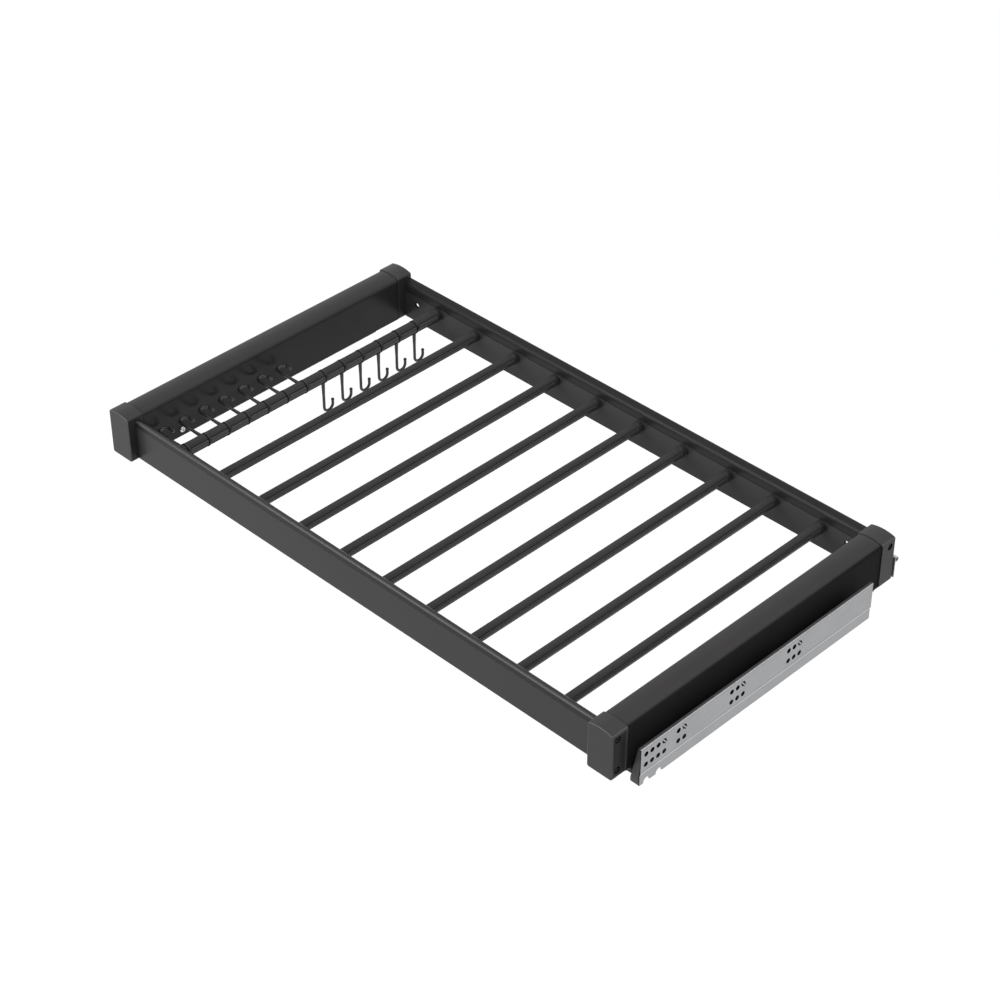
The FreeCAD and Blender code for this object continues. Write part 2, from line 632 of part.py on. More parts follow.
# A dark edge guard lies along each flange's top and ends in a gusset at the front.
def edge_guard(side):
    name = f"{side}_edge_guard"
    top, sheet = "flange_top", "sheet"
    strip = [(sheet, f"{top} - guard_drop"), (f"2 * {sheet}", f"{top} - guard_drop"),
             (f"2 * {sheet}", f"{top} - {sheet}"), ("guard_width", f"{top} - {sheet}"),
             ("guard_width", top), (sheet, top)]
    gusset = [("joggle + sheet + 0.1", "hem_foot"), ("guard_foot", "hem_foot"),
              ("guard_foot", "guard_waist"), ("guard_width", top), (sheet, top),
              (sheet, "joggle_height + 1"), ("joggle + sheet + 0.1", "joggle_height - 0.4")]
    parts = [side_extrusion(name + "_strip", side, [strip], ("slide_front", SLIDE_REAR)),
             side_extrusion(name + "_gusset", side, [gusset],
                            ("slide_front", "slide_front + guard_nose"))]
    subpart(fused(name, parts), name)


for side in SIDES:
    cabinet_rail(side)
    edge_guard(side)


# ---- slides: middle and drawer rails ----------------------------------------------------
def mirrored_section(half):
    """A section given from its left lower corner to its middle, mirrored about the channel's
    centre line."""
    other = [(f"2 * channel_centre - ({x})", z) for x, z in half]
    return half + other[::-1]


def middle_rail(side):
    name = f"{side}_middle_rail"
    web = "middle_web"
    half = [("middle_leg + sheet", f"{web} + sheet"), ("middle_leg + sheet", "middle_top"),
            ("middle_leg", "middle_top"), ("middle_leg", f"{web} + sheet"),
            ("middle_edge", f"{web} + sheet"), ("middle_edge", web)]
    section = mirrored_section(half)
    subpart(side_extrusion(name, side, [section],
                           ("slide_front + middle_setback", SLIDE_REAR)), name)


# The drawer rail is a channel turned over the middle rail, up under the beam's shelf, with a
# third leg that the lock screw holds to the beam. A strap runs on through the rear block's
# slot to a tail with a rolled eye.
LOCK_LEG_FACE = BEAM_INNER + " - beam_wall - lock_leg_play"
def drawer_rail(side):
    name = f"{side}_drawer_rail"
    centre, foot, under = "channel_centre", "drawer_foot", "shelf_height - sheet"
    far = f"2 * {centre} - drawer_leg"
    section = [("drawer_leg + sheet", under), ("drawer_leg + sheet", foot), ("drawer_leg", foot),
               ("drawer_leg", "shelf_height"), (LOCK_LEG_FACE, "shelf_height"),
               (LOCK_LEG_FACE, "lock_leg_foot"), (LOCK_LEG_FACE + " - sheet", "lock_leg_foot"),
               (LOCK_LEG_FACE + " - sheet", under), (far, under), (far, foot),
               (far + " - sheet", foot), (far + " - sheet", under)]
    body = side_extrusion(name + "_body", side, [section], ("drawer_front", "drawer_rear"))
    tail_y = "frame_depth + tail_stand_off"
    strap = slab(name + "_strap", side, (f"{centre} - strap_half_width", f"{centre} + strap_half_width"),
                 ("drawer_rear - 5", f"{tail_y} + sheet"), ("shelf_height - sheet", "shelf_height"))
    bar = slab(name + "_bar", side, ("tail_place - tail_half_width", f"{centre} + strap_half_width"),
               (tail_y, f"{tail_y} + sheet"), ("bar_foot", "bar_top"))
    upright = slab(name + "_upright", side,
                   ("tail_place - tail_half_width", "tail_place + tail_half_width"),
                   (tail_y, f"{tail_y} + sheet"), ("tail_foot", "tail_top"))
    roll = pin(name + "_roll", side, "eye_radius",
               ("tail_place - tail_half_width", "tail_place + tail_half_width"),
               f"{tail_y} + eye_radius", "tail_top")
    bore = pin(name + "_eye", side, "eye_bore",
               ("tail_place - tail_half_width - 1", "tail_place + tail_half_width + 1"),
               f"{tail_y} + eye_radius", "tail_top")
    hole = pin(name + "_hole", side, "screw_shank + screw_play / 2",
               (LOCK_LEG_FACE + " - sheet - 1", LOCK_LEG_FACE + " + 1"),
               "lock_screw_place", "lock_screw_height")
    solid = fused(name + "_solid", [body, strap, bar, upright, roll])
    subpart(cut(name, solid, [bore, hole]), name)


for side in SIDES:
    middle_rail(side)
    drawer_rail(side)


# Bright screws through the inner wall of each beam hold the drawer rails.
def lock_screw(side):
    name = f"{side}_lock_screw"
    head = pin(name + "_head", side, "lock_head", (BEAM_INNER, BEAM_INNER + " + lock_head_depth"),
               "lock_screw_place", "lock_screw_height")
    shank = pin(name + "_shank", side, "screw_shank",
                (LOCK_LEG_FACE + " - sheet - 0.4", BEAM_INNER + " + 1"),
                "lock_screw_place", "lock_screw_height")
    top = BEAM_INNER + " + lock_head_depth"
    arms = [slab(f"{name}_{way}_recess", side, (top + " - 1.5", top + " + 1"),
                 (f"lock_screw_place - {half_y}", f"lock_screw_place + {half_y}"),
                 (f"lock_screw_height - {half_z}", f"lock_screw_height + {half_z}"))
            for way, half_y, half_z in (("level", 2.1, 0.45), ("upright", 0.45, 2.1))]
    return cut(name, fused(name + "_solid", [head, shank]), arms)


subpart(group("lock_screws", [lock_screw(side) for side in SIDES]), "lock_screws")


# ---- slides: cages with their rollers and balls -----------------------------------------
CAGE_MIDDLE = "slide_front + cage_middle"
ROLLER_COUNT = 8
BALLS_A_SIDE = 6


def spread(index, count, pitch):
    """Y of one of a row of rolling elements about the cage's middle."""
    return f"{CAGE_MIDDLE} + {pitch} * ({index} - {(count - 1) / 2})"


def lower_cage(side):
    name = f"{side}_lower_cage"
    centre = "channel_centre"
    strip = slab(name + "_strip", side,
                 (f"{centre} - lower_cage_width / 2", f"{centre} + lower_cage_width / 2"),
                 (f"{CAGE_MIDDLE} - lower_cage_length / 2", f"{CAGE_MIDDLE} + lower_cage_length / 2"),
                 ("roller_height - lower_cage_sheet / 2", "roller_height + lower_cage_sheet / 2"))
    windows, rollers = [], []
    for index in range(ROLLER_COUNT):
        y = spread(index, ROLLER_COUNT, "roller_pitch")
        half, play = "roller_length / 2", "window_play"
        windows.append(slab(f"{name}_window_{index}", side,
                            (f"{centre} - {half} - {play}", f"{centre} + {half} + {play}"),
                            (f"{y} - roller_radius - {play}", f"{y} + roller_radius + {play}"),
                            ("roller_height - 1", "roller_height + 1")))
        rollers.append(pin(f"{name}_roller_{index}", side, "roller_radius",
                           (f"{centre} - {half}", f"{centre} + {half}"), y, "roller_height"))
    subpart(cut(name, strip, windows), name)
    subpart(group(f"{side}_rollers", rollers), f"{side}_rollers")


def upper_cage(side):
    name = f"{side}_upper_cage"
    leg = "(bearing_centre - upper_cage_sheet / 2)"
    half = [(f"{leg} + upper_cage_sheet", "upper_cage_top - upper_cage_sheet"),
            (f"{leg} + upper_cage_sheet", "upper_cage_foot"), (leg, "upper_cage_foot"),
            (leg, "upper_cage_top")]
    section = mirrored_section(half)
    body = side_extrusion(name + "_body", side, [section],
                          (f"{CAGE_MIDDLE} - upper_cage_length / 2",
                           f"{CAGE_MIDDLE} + upper_cage_length / 2"))
    pockets, balls = [], []
    for index in range(BALLS_A_SIDE):
        y = spread(index, BALLS_A_SIDE, "bearing_pitch")
        for row, across in enumerate(("bearing_centre", "2 * channel_centre - bearing_centre")):
            pockets.append(pin(f"{name}_pocket_{row}_{index}", side,
                               "ball_bearing_radius + pocket_play",
                               (f"{across} - 1", f"{across} + 1"), y, "bearing_height"))
            balls.append(ball(f"{name}_ball_{row}_{index}", "ball_bearing_radius",
                              inward(side, across), y, "bearing_height"))
    subpart(cut(name, body, pockets), name)
    subpart(group(f"{side}_balls", balls), f"{side}_balls")


for side in SIDES:
    lower_cage(side)
    upper_cage(side)

# ---- checks and export ------------------------------------------------------------------
doc.recompute()
for thing in doc.Objects:
    if "Invalid" in thing.State or "Error" in thing.State:
        raise RuntimeError(f"{thing.Label} failed: {thing.State}")
os.makedirs("parts", exist_ok=True)
for thing in subparts:
    if thing.Shape.isNull() or not thing.Shape.isValid() or not thing.Shape.Solids:
        raise RuntimeError(f"{thing.Label} has no valid solid")
    thing.Shape.exportStep(f"parts/{thing.Label}.step")
    bounds = thing.Shape.BoundBox
    print(f"{thing.Label:24s} solids {len(thing.Shape.Solids):2d}"
          f"  x {bounds.XMin:7.1f} {bounds.XMax:7.1f}  y {bounds.YMin:7.1f} {bounds.YMax:7.1f}"
          f"  z {bounds.ZMin:6.1f} {bounds.ZMax:6.1f}")
print(len(subparts), "sub-parts")
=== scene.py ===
import math

import bmesh
import bpy
from mathutils import Matrix, Vector


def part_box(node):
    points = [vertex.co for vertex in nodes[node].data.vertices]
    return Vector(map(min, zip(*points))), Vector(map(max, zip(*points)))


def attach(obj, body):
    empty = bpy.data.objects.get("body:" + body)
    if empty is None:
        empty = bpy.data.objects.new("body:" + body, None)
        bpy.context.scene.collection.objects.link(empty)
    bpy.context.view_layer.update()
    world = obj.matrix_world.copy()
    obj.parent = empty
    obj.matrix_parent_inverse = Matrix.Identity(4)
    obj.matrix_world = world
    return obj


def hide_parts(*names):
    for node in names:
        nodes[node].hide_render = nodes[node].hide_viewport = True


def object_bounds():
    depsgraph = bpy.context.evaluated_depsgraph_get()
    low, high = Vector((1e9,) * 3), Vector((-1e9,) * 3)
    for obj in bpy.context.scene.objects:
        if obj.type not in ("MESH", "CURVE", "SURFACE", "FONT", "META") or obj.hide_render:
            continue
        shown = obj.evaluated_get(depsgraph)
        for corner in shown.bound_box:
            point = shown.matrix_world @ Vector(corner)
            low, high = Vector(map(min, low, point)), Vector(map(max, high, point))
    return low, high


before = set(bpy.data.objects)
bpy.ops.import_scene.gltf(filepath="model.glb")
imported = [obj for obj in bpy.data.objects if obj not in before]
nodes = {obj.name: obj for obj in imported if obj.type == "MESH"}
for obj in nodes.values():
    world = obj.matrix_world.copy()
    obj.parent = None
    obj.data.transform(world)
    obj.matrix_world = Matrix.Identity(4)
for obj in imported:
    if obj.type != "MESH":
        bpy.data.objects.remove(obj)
frame_box = [list(corner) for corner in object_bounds()]

# ---- camera -----------------------------------------------------------------------------
# It looks down on the rack from in front and to the right, from 3 m away through a long lens.
VIEW_TARGET = Vector((0.4519, 0.0556, 0.023))
VIEW_DISTANCE = 3.002
VIEW_AZIMUTH, VIEW_ELEVATION, VIEW_ROLL = (math.radians(angle) for angle in (44.92, 37.25, -0.13))
LENS = 91.35
away = Vector((math.sin(VIEW_AZIMUTH) * math.cos(VIEW_ELEVATION),
               -math.cos(VIEW_AZIMUTH) * math.cos(VIEW_ELEVATION), math.sin(VIEW_ELEVATION)))
camera_data = bpy.data.cameras.new("camera")
camera_data.lens = LENS
camera = bpy.data.objects.new("camera", camera_data)
bpy.context.collection.objects.link(camera)
camera.location = VIEW_TARGET + away * VIEW_DISTANCE
levelled = (-away).to_track_quat("-Z", "Y").to_matrix().to_4x4()
camera.rotation_euler = (levelled @ Matrix.Rotation(VIEW_ROLL, 4, "Z")).to_euler()
bpy.context.scene.camera = camera
bpy.context.scene.view_settings.view_transform = "Standard"

# ---- side beams -------------------------------------------------------------------------
# Two aluminium extrusions with a softly crowned top, open below where the slides run. They are
# blasted and powder coated a warm charcoal, a fine even grain with a low satin gloss that is
# flatter on the outer walls. The outer walls are also painted darker as painted shade, and the
# inner walls a little darker as painted shade.
FRAME_WIDTH, FRAME_DEPTH = 838, 475
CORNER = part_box("front_left_corner")[0]
TO_ROW = Matrix.Translation(CORNER) @ Matrix.Scale(0.001, 4)
MERGE_DISTANCE, LAST_MERGE, LAST_MERGE_METRES, STEPS_PER_RADIAN = 0.002, 0.0005, 1e-6, 11


def draw_outline(points, filled=True):
    """A flat outline in X and Z, drawn anticlockwise, in millimetres. A third number in a point is
    the radius of the arc that leads on to the next one, minus for an arc that curves inward."""
    outline = bmesh.new()
    stops = [Vector((point[0], 0, point[1])) for point in points]
    for point, here, there in zip(points, stops, stops[1:] + stops[:1]):
        pen = outline.verts.new(here)
        if len(point) == 2:
            outline.edges.new((pen, outline.verts.new(there)))
            continue
        radius, chord = point[2], there - here
        beside = Vector((-chord.z, 0, chord.x)).normalized()
        rise = math.sqrt(radius ** 2 - chord.length_squared / 4)
        turn = 2 * math.asin(chord.length / 2 / radius)
        centre = (here + there) / 2 + beside * math.copysign(rise, radius)
        bmesh.ops.spin(outline, geom=[pen], cent=centre, axis=(0, -1, 0), angle=turn,
                       steps=max(3, round(abs(turn) * STEPS_PER_RADIAN)))
    bmesh.ops.remove_doubles(outline, verts=outline.verts, dist=MERGE_DISTANCE)
    if filled:
        bmesh.ops.contextual_create(outline, geom=outline.edges[:])
    return outline


def verts_in(parts):
    """The points among what an operator gives back."""
    return [part for part in parts if isinstance(part, bmesh.types.BMVert)]


def run_section(points, start, stop):
    """The section run along Y from start to stop."""
    bar = draw_outline(points)
    bmesh.ops.translate(bar, verts=bar.verts, vec=(0, start, 0))
    run = bmesh.ops.extrude_face_region(bar, geom=bar.faces[:])["geom"]
    bmesh.ops.translate(bar, verts=verts_in(run), vec=(0, stop - start, 0))
    bmesh.ops.recalc_face_normals(bar, faces=bar.faces)
    return bar


def soften(mesh, width, segments, chosen):
    """Rounds over the edges that the test picks by their middle and their direction."""
    picked = []
    for edge in mesh.edges:
        start, stop = (vert.co for vert in edge.verts)
        if chosen((start + stop) / 2, stop - start, edge):
            picked.append(edge)
    bmesh.ops.bevel(mesh, geom=picked, offset=width, offset_type="OFFSET", affect="EDGES",
                    segments=segments, profile=0.5, material=-1, clamp_overlap=True)


def is_sharp(edge, degrees=30):
    """Whether two faces meet at the edge at more than that angle."""
    return len(edge.link_faces) == 2 and edge.calc_face_angle(0) > math.radians(degrees)


def swap_sides(mesh):
    """Turns a piece of the left side into its mirror image on the right side."""
    mirror = Matrix.Translation((FRAME_WIDTH, 0, 0)) @ Matrix.Diagonal((-1, 1, 1, 1))
    bmesh.ops.transform(mesh, matrix=mirror, verts=mesh.verts)
    bmesh.ops.reverse_faces(mesh, faces=mesh.faces)


def paint(mesh, slot, chosen):
    """Gives the faces that the test picks by their middle and direction another of the finishes."""
    for face in mesh.faces:
        if chosen(face.calc_center_median(), face.normal):
            face.material_index = slot


def finish_piece(name, mesh, finishes, body, stands_for, sharp=32, placed=TO_ROW):
    """Makes the piece: drawn in millimetres from the frame's left front lower corner, it goes where
    the solids are, gets its finishes, rides on its body and stands for its node. A piece drawn in
    metres, at the solids' own place, is left where it is."""
    closest = LAST_MERGE if placed is TO_ROW else LAST_MERGE_METRES
    bmesh.ops.remove_doubles(mesh, verts=mesh.verts, dist=closest)
    bmesh.ops.recalc_face_normals(mesh, faces=mesh.faces)
    bmesh.ops.transform(mesh, matrix=placed, verts=mesh.verts)
    data = bpy.data.meshes.new(name)
    mesh.to_mesh(data)
    mesh.free()
    data.shade_smooth()
    data.set_sharp_from_angle(angle=math.radians(sharp))
    for finish in finishes:
        data.materials.append(finish)
    piece = bpy.data.objects.new(name, data)
    bpy.context.collection.objects.link(piece)
    flat = piece.modifiers.new("flat_faces", "WEIGHTED_NORMAL")
    flat.keep_sharp = True
    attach(piece, body)
    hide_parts(stands_for)


def node_maker(tree):
    """A function that adds a shader node to the tree, with its inputs set or linked."""
    def add(kind, inputs=(), **settings):
        node = tree.nodes.new("ShaderNode" + kind)
        for key, value in settings.items():
            setattr(node, key, value)
        for key, value in dict(inputs).items():
            if isinstance(value, bpy.types.NodeSocket):
                tree.links.new(value, node.inputs[key])
            else:
                node.inputs[key].default_value = value
        return node

    return add


def new_finish(name):
    """A new material, a maker of its nodes, and a function that feeds its shader."""
    material = bpy.data.materials.new(name)
    material.use_nodes = True
    tree = material.node_tree
    shader = next(node for node in tree.nodes if node.type == "BSDF_PRINCIPLED")

    def feed(**sockets):
        for socket, value in sockets.items():
            socket = shader.inputs[socket.replace("_", " ")]
            if isinstance(value, bpy.types.NodeSocket):
                tree.links.new(value, socket)
            else:
                socket.default_value = value

    return material, node_maker(tree), feed


def spread(add, noise, low, high):
    """The middle of a noise's range, spread between two levels."""
    return add("MapRange", {"Value": noise.outputs["Fac"], "From Min": 0.3, "From Max": 0.7,
                            "To Min": low, "To Max": high}).outputs["Result"]


def powder_coat(name, colour, along, roughness=0.42, gloss=0.16, grain=1.0, drawn=0.0):
    """Fine powder coat on metal. The grain is 0.4 mm, the coat varies a little in tone and gloss
    over a hand's breadth, and along is the axis of the faint lines of the drawn metal below."""
    material, add, feed = new_finish(name)
    place = add("TexCoord").outputs["Object"]
    clouds = add("TexNoise", {"Vector": place, "Scale": 11.0, "Detail": 4.0, "Roughness": 0.55})
    speckle = add("TexNoise", {"Vector": place, "Scale": 2400.0, "Detail": 2.0, "Roughness": 0.6})
    stretch = [1.0, 1.0, 1.0]
    stretch[along] = 0.004
    drawn_out = add("Mapping", {"Vector": place, "Scale": stretch}).outputs["Vector"]
    lines = add("TexNoise", {"Vector": drawn_out, "Scale": 700.0, "Detail": 3.0})
    tone = spread(add, clouds, 0.94, 1.06)
    dust = spread(add, speckle, 0.92, 1.08)
    both = add("Math", {0: tone, 1: dust}, operation="MULTIPLY")
    coat = add("VectorMath", {0: colour, "Scale": both.outputs["Value"]}, operation="SCALE")
    sheen = spread(add, clouds, roughness - 0.03, roughness + 0.04)
    relief = add("MixRGB", {"Fac": drawn, "Color1": speckle.outputs["Fac"],
                            "Color2": lines.outputs["Fac"]})
    bump = add("Bump", {"Height": relief.outputs["Color"], "Strength": 0.10 * grain,
                        "Distance": 0.0002})
    feed(Base_Color=coat.outputs["Vector"], Roughness=sheen, Normal=bump.outputs["Normal"],
         Specular_IOR_Level=gloss)
    return material


CHARCOAL = (0.0405, 0.0378, 0.0402)
BEAM_OUTER, BEAM_INNER, BEAM_FOOT, BEAM_SHOULDER = 1.2, 35.5, 0.5, 61.4
BEAM_WALL, BEAM_SHELF, BEAM_CROWN, BEAM_ROUND, BEAM_EDGE = 1.6, 16, 52, 4.2, 0.45
BLOCK_LENGTH, SEAM = 24, 0.6
beam_finish = powder_coat("beam_charcoal", CHARCOAL, along=1, roughness=0.30, drawn=0.25)
outer_wall_painted_shade = powder_coat("painted_shade_outer_wall", (0.027, 0.0253, 0.0268), along=1,
                                roughness=0.5, gloss=0.02, drawn=0.25)
inner_wall_painted_shade = powder_coat("painted_shade_inner_wall", (0.037, 0.0346, 0.0367), along=1,
                                roughness=0.30, drawn=0.25)
for side in ("left", "right"):
    beam = run_section([(BEAM_OUTER, BEAM_FOOT), (BEAM_OUTER + BEAM_WALL, BEAM_FOOT),
                        (BEAM_OUTER + BEAM_WALL, BEAM_SHELF), (BEAM_INNER - BEAM_WALL, BEAM_SHELF),
                        (BEAM_INNER - BEAM_WALL, BEAM_FOOT), (BEAM_INNER, BEAM_FOOT),
                        (BEAM_INNER, BEAM_SHOULDER, BEAM_CROWN), (BEAM_OUTER, BEAM_SHOULDER)],
                       BLOCK_LENGTH + SEAM, FRAME_DEPTH - BLOCK_LENGTH - SEAM)
    soften(beam, BEAM_ROUND, 8, lambda middle, way, edge: abs(way.y) > 100 and is_sharp(edge, 50)
           and middle.z > BEAM_SHOULDER - 1)
    soften(beam, BEAM_EDGE, 3, lambda middle, way, edge: is_sharp(edge, 50))
    # The outer wall is painted darker as painted shade, the inner wall a little darker as painted
    # shade.
    paint(beam, 1, lambda middle, facing: facing.x < -0.6 and middle.x < BEAM_OUTER + 1.5)
    paint(beam, 2, lambda middle, facing: facing.x > 0.9 and middle.x > BEAM_INNER - 0.5)
    if side == "right":
        swap_sides(beam)
    finish_piece(f"{side}_side_beam", beam, [beam_finish, outer_wall_painted_shade, inner_wall_painted_shade],
                 "frame", f"{side}_beam")

# ---- corner blocks ----------------------------------------------------------------------
# Die-cast zinc blocks that close the beams' ends, proud of them all round and a hair's breadth
# off, where a register seats them. The outer cheek of the front ones is dished between its two
# sunk screw holes. The dish is painted darker as painted shade, the holes' walls black as painted
# shade, and the outer edges paler as a painted highlight.
BLOCK_WIDTH, BLOCK_SHOULDER, BLOCK_CROWN, BLOCK_ROUND = 36, 62, 55.5, 3
CROWN_EDGE, FACE_EDGE, SEAM_EDGE, DISH_EDGE = 1.7, 1.3, 0.5, 0.3
DISH_STEPS = ((1.8, 0), (1.2, -0.6), (3.2, -0.35))
SCREW_FROM_END, SCREW_LEVELS, SINK_RADIUS, SINK_DEPTH = 9.5, (10, 53), 4.2, 3
SLOT_MIDDLE, SLOT_WIDTH, SLOT_TOP, SEAT_INSET = 12.25, 12.4, 16.6, 2.6
NOTCH_HALF, NOTCH_TOP = SLOT_WIDTH / 2 + 0.85, SLOT_TOP + 0.8
block_finish = powder_coat("block_charcoal", (0.043, 0.0415, 0.0432), along=2, roughness=0.36,
                           gloss=0.2)
# A darker copy of the coat, painted on the dish as painted shade.
dish_painted_shade = powder_coat("painted_shade_dish", (0.0185, 0.0183, 0.0215), along=2, roughness=0.36,
                          gloss=0.1)
# Black, painted into holes, recesses, gaps and the rods' undersides as painted shade.
painted_shade_black = powder_coat("painted_shade_black", (0.006, 0.006, 0.006), along=2, roughness=0.7, gloss=0.0)
# A paler copy of the coat, painted on edges as a painted highlight.
edge_painted_highlight = powder_coat("edge_painted_highlight", (0.098, 0.0945, 0.098), along=2, roughness=0.32, gloss=0.3)


def carve(mesh, cutter):
    """The mesh with the cutter's shape taken out of it. Both are used up."""
    things = []
    for part in (mesh, cutter):
        bmesh.ops.recalc_face_normals(part, faces=part.faces)
        data = bpy.data.meshes.new("carving")
        part.to_mesh(data)
        part.free()
        things.append(bpy.data.objects.new("carving", data))
        bpy.context.collection.objects.link(things[-1])
    cut = things[0].modifiers.new("cut", "BOOLEAN")
    cut.operation, cut.object, cut.solver = "DIFFERENCE", things[1], "EXACT"
    carved = bmesh.new()
    carved.from_object(things[0], bpy.context.evaluated_depsgraph_get())
    for thing in things:
        data = thing.data
        bpy.data.objects.remove(thing)
        bpy.data.meshes.remove(data)
    return carved


def add_drill(cutter, radius, start, stop, segments=32):
    """A round cutter between two points."""
    way = stop - start
    turn = way.to_track_quat("Z", "Y").to_matrix().to_4x4()
    bmesh.ops.create_cone(cutter, cap_ends=True, segments=segments, radius1=radius, radius2=radius,
                          depth=way.length, matrix=Matrix.Translation((start + stop) / 2) @ turn)


def add_copy(whole, part, where):
    """Adds a copy of one mesh to another at a place."""
    data = bpy.data.meshes.new("copy")
    part.to_mesh(data)
    data.transform(where)
    if where.determinant() < 0:
        data.flip_normals()
    whole.from_mesh(data)
    bpy.data.meshes.remove(data)


def corner_block(end):
    """The left block of that end. The rear one has no dish, one hole and the slot, and is turned
    end for end. Both get the register plate that closes the seam to the beam."""
    block = run_section([(BLOCK_ROUND, 0), (BLOCK_WIDTH - BLOCK_ROUND, 0, BLOCK_ROUND),
                         (BLOCK_WIDTH, BLOCK_ROUND), (BLOCK_WIDTH, BLOCK_SHOULDER, BLOCK_CROWN),
                         (0, BLOCK_SHOULDER), (0, BLOCK_ROUND, BLOCK_ROUND)], 0, BLOCK_LENGTH)
    soften(block, CROWN_EDGE, 4, lambda middle, way, edge: abs(way.y) > 20 and is_sharp(edge, 50))
    soften(block, FACE_EDGE, 4, lambda middle, way, edge: middle.y < 0.01 and abs(way.y) < 0.01)
    soften(block, SEAM_EDGE, 3, lambda middle, way, edge: middle.y > BLOCK_LENGTH - 0.01
           and abs(way.y) < 0.01)
    if end == "front":
        cheek = [face for face in block.faces if face.normal.x < -0.99 and face.calc_area() > 300]
        for width, depth in DISH_STEPS:
            bmesh.ops.inset_region(block, faces=cheek, thickness=width, depth=depth)
    holes = bmesh.new()
    for level in SCREW_LEVELS if end == "front" else SCREW_LEVELS[1:]:
        mouth = Vector((0, SCREW_FROM_END, level))
        add_drill(holes, SINK_RADIUS, mouth + Vector((-5, 0, 0)),
                  mouth + Vector((SINK_DEPTH, 0, 0)))
    block = carve(block, holes)
    # The dish's floor is painted darker as painted shade, and the sink holes' walls and floors
    # black as painted shade.
    paint(block, 1, lambda middle, facing: facing.x < -0.9 and 0.5 < middle.x < 1.5)
    paint(block, 2, lambda middle, facing: 1 < middle.x < SINK_DEPTH + 0.1
          and abs(middle.y - SCREW_FROM_END) < 5.5
          and (abs(facing.x) < 0.5 or middle.x > SINK_DEPTH - 0.1))
    soften(block, DISH_EDGE, 2, lambda middle, way, edge: is_sharp(edge, 45) and middle.x < 1.2
           and 3 < middle.y < BLOCK_LENGTH - 3 and 2 < middle.z < BLOCK_SHOULDER - 2)
    if end == "rear":
        slot = bmesh.new()
        bmesh.ops.create_cube(slot, size=1, matrix=Matrix.Translation(
            (SLOT_MIDDLE, BLOCK_LENGTH / 2, (SLOT_TOP - 1) / 2))
            @ Matrix.Diagonal((SLOT_WIDTH, BLOCK_LENGTH + 2, SLOT_TOP + 1, 1)))
        block = carve(block, slot)
    # The front face's rim and the top outer edges are painted paler as a painted highlight.
    paint(block, 3, lambda middle, facing: middle.y < FACE_EDGE and 0.3 < -facing.y < 0.93)
    paint(block, 3, lambda middle, facing: 0.3 < -facing.x < 0.93 and facing.z > 0.3
          and middle.z > BLOCK_SHOULDER - 2)
    far, high = BLOCK_WIDTH - SEAT_INSET, BLOCK_SHOULDER - SEAT_INSET
    seat = [(SEAT_INSET, SEAT_INSET), (far, SEAT_INSET), (far, high, BLOCK_CROWN),
            (SEAT_INSET, high)]
    if end == "rear":
        near_side, far_side = SLOT_MIDDLE - NOTCH_HALF, SLOT_MIDDLE + NOTCH_HALF
        seat[1:1] = [(near_side, SEAT_INSET), (near_side, NOTCH_TOP), (far_side, NOTCH_TOP),
                     (far_side, SEAT_INSET)]
    register = run_section(seat, BLOCK_LENGTH - 0.3, BLOCK_LENGTH + SEAM - 0.05)
    add_copy(block, register, Matrix.Identity(4))
    register.free()
    if end == "rear":
        turn_round = Matrix.Translation((0, FRAME_DEPTH, 0)) @ Matrix.Diagonal((1, -1, 1, 1))
        bmesh.ops.transform(block, matrix=turn_round, verts=block.verts)
        bmesh.ops.reverse_faces(block, faces=block.faces)
    return block


for end in ("front", "rear"):
    for side in ("left", "right"):
        block = corner_block(end)
        if side == "right":
            swap_sides(block)
        finish_piece(f"{end}_{side}_block", block,
                     [block_finish, dish_painted_shade, painted_shade_black, edge_painted_highlight],
                     "frame", f"{end}_{side}_corner")

# ---- screws in the corner blocks --------------------------------------------------------
# Blackened pan head screws with a crossed recess, sunk below the cheek of each block. They pull
# the block onto the beam: two in each front block and one in each rear block.
black_screw, add, feed = new_finish("blackened_steel")
place = add("TexCoord").outputs["Object"]
patches = add("TexNoise", {"Vector": place, "Scale": 900.0, "Detail": 3.0})
worn = add("MapRange", {"Value": patches.outputs["Fac"], "To Min": 0.30, "To Max": 0.48})
shade = add("MixRGB", {"Fac": patches.outputs["Fac"], "Color1": (0.006, 0.006, 0.006, 1),
                       "Color2": (0.014, 0.0135, 0.0135, 1)})
feed(Base_Color=shade.outputs["Color"], Roughness=worn.outputs["Result"], Metallic=0.9)


def turned(points, steps=40):
    """A turned shape about Z: the outline, in radius and height, spun all the way round."""
    shape = draw_outline(points, filled=False)
    on_axis = [edge for edge in shape.edges if all(abs(vert.co.x) < 0.001 for vert in edge.verts)]
    bmesh.ops.delete(shape, geom=on_axis, context="EDGES")
    bmesh.ops.spin(shape, geom=shape.verts[:] + shape.edges[:], cent=(0, 0, 0), axis=(0, 0, 1),
                   angle=math.tau, steps=steps, use_merge=True)
    bmesh.ops.remove_doubles(shape, verts=shape.verts, dist=MERGE_DISTANCE)
    bmesh.ops.recalc_face_normals(shape, faces=shape.faces)
    return shape


def pan_screw(head, height, shank, length):
    """A pan head screw, its head above Z = 0, with a crossed recess."""
    screw = turned([(0, -length), (shank - 0.5, -length), (shank, 0.6 - length), (shank, 0),
                    (head, 0), (head, height * 0.4, head * 0.55), (head * 0.5, height),
                    (0, height)])
    arm, half = head * 0.56, 0.45
    cross = run_section([(half, -arm), (half, -half), (arm, -half), (arm, half), (half, half),
                         (half, arm), (-half, arm), (-half, half), (-arm, half), (-arm, -half),
                         (-half, -half), (-half, -arm)], height * 0.35, height + 1)
    bmesh.ops.rotate(cross, verts=cross.verts, matrix=Matrix.Rotation(math.radians(90), 3, "X"))
    return carve(screw, cross)


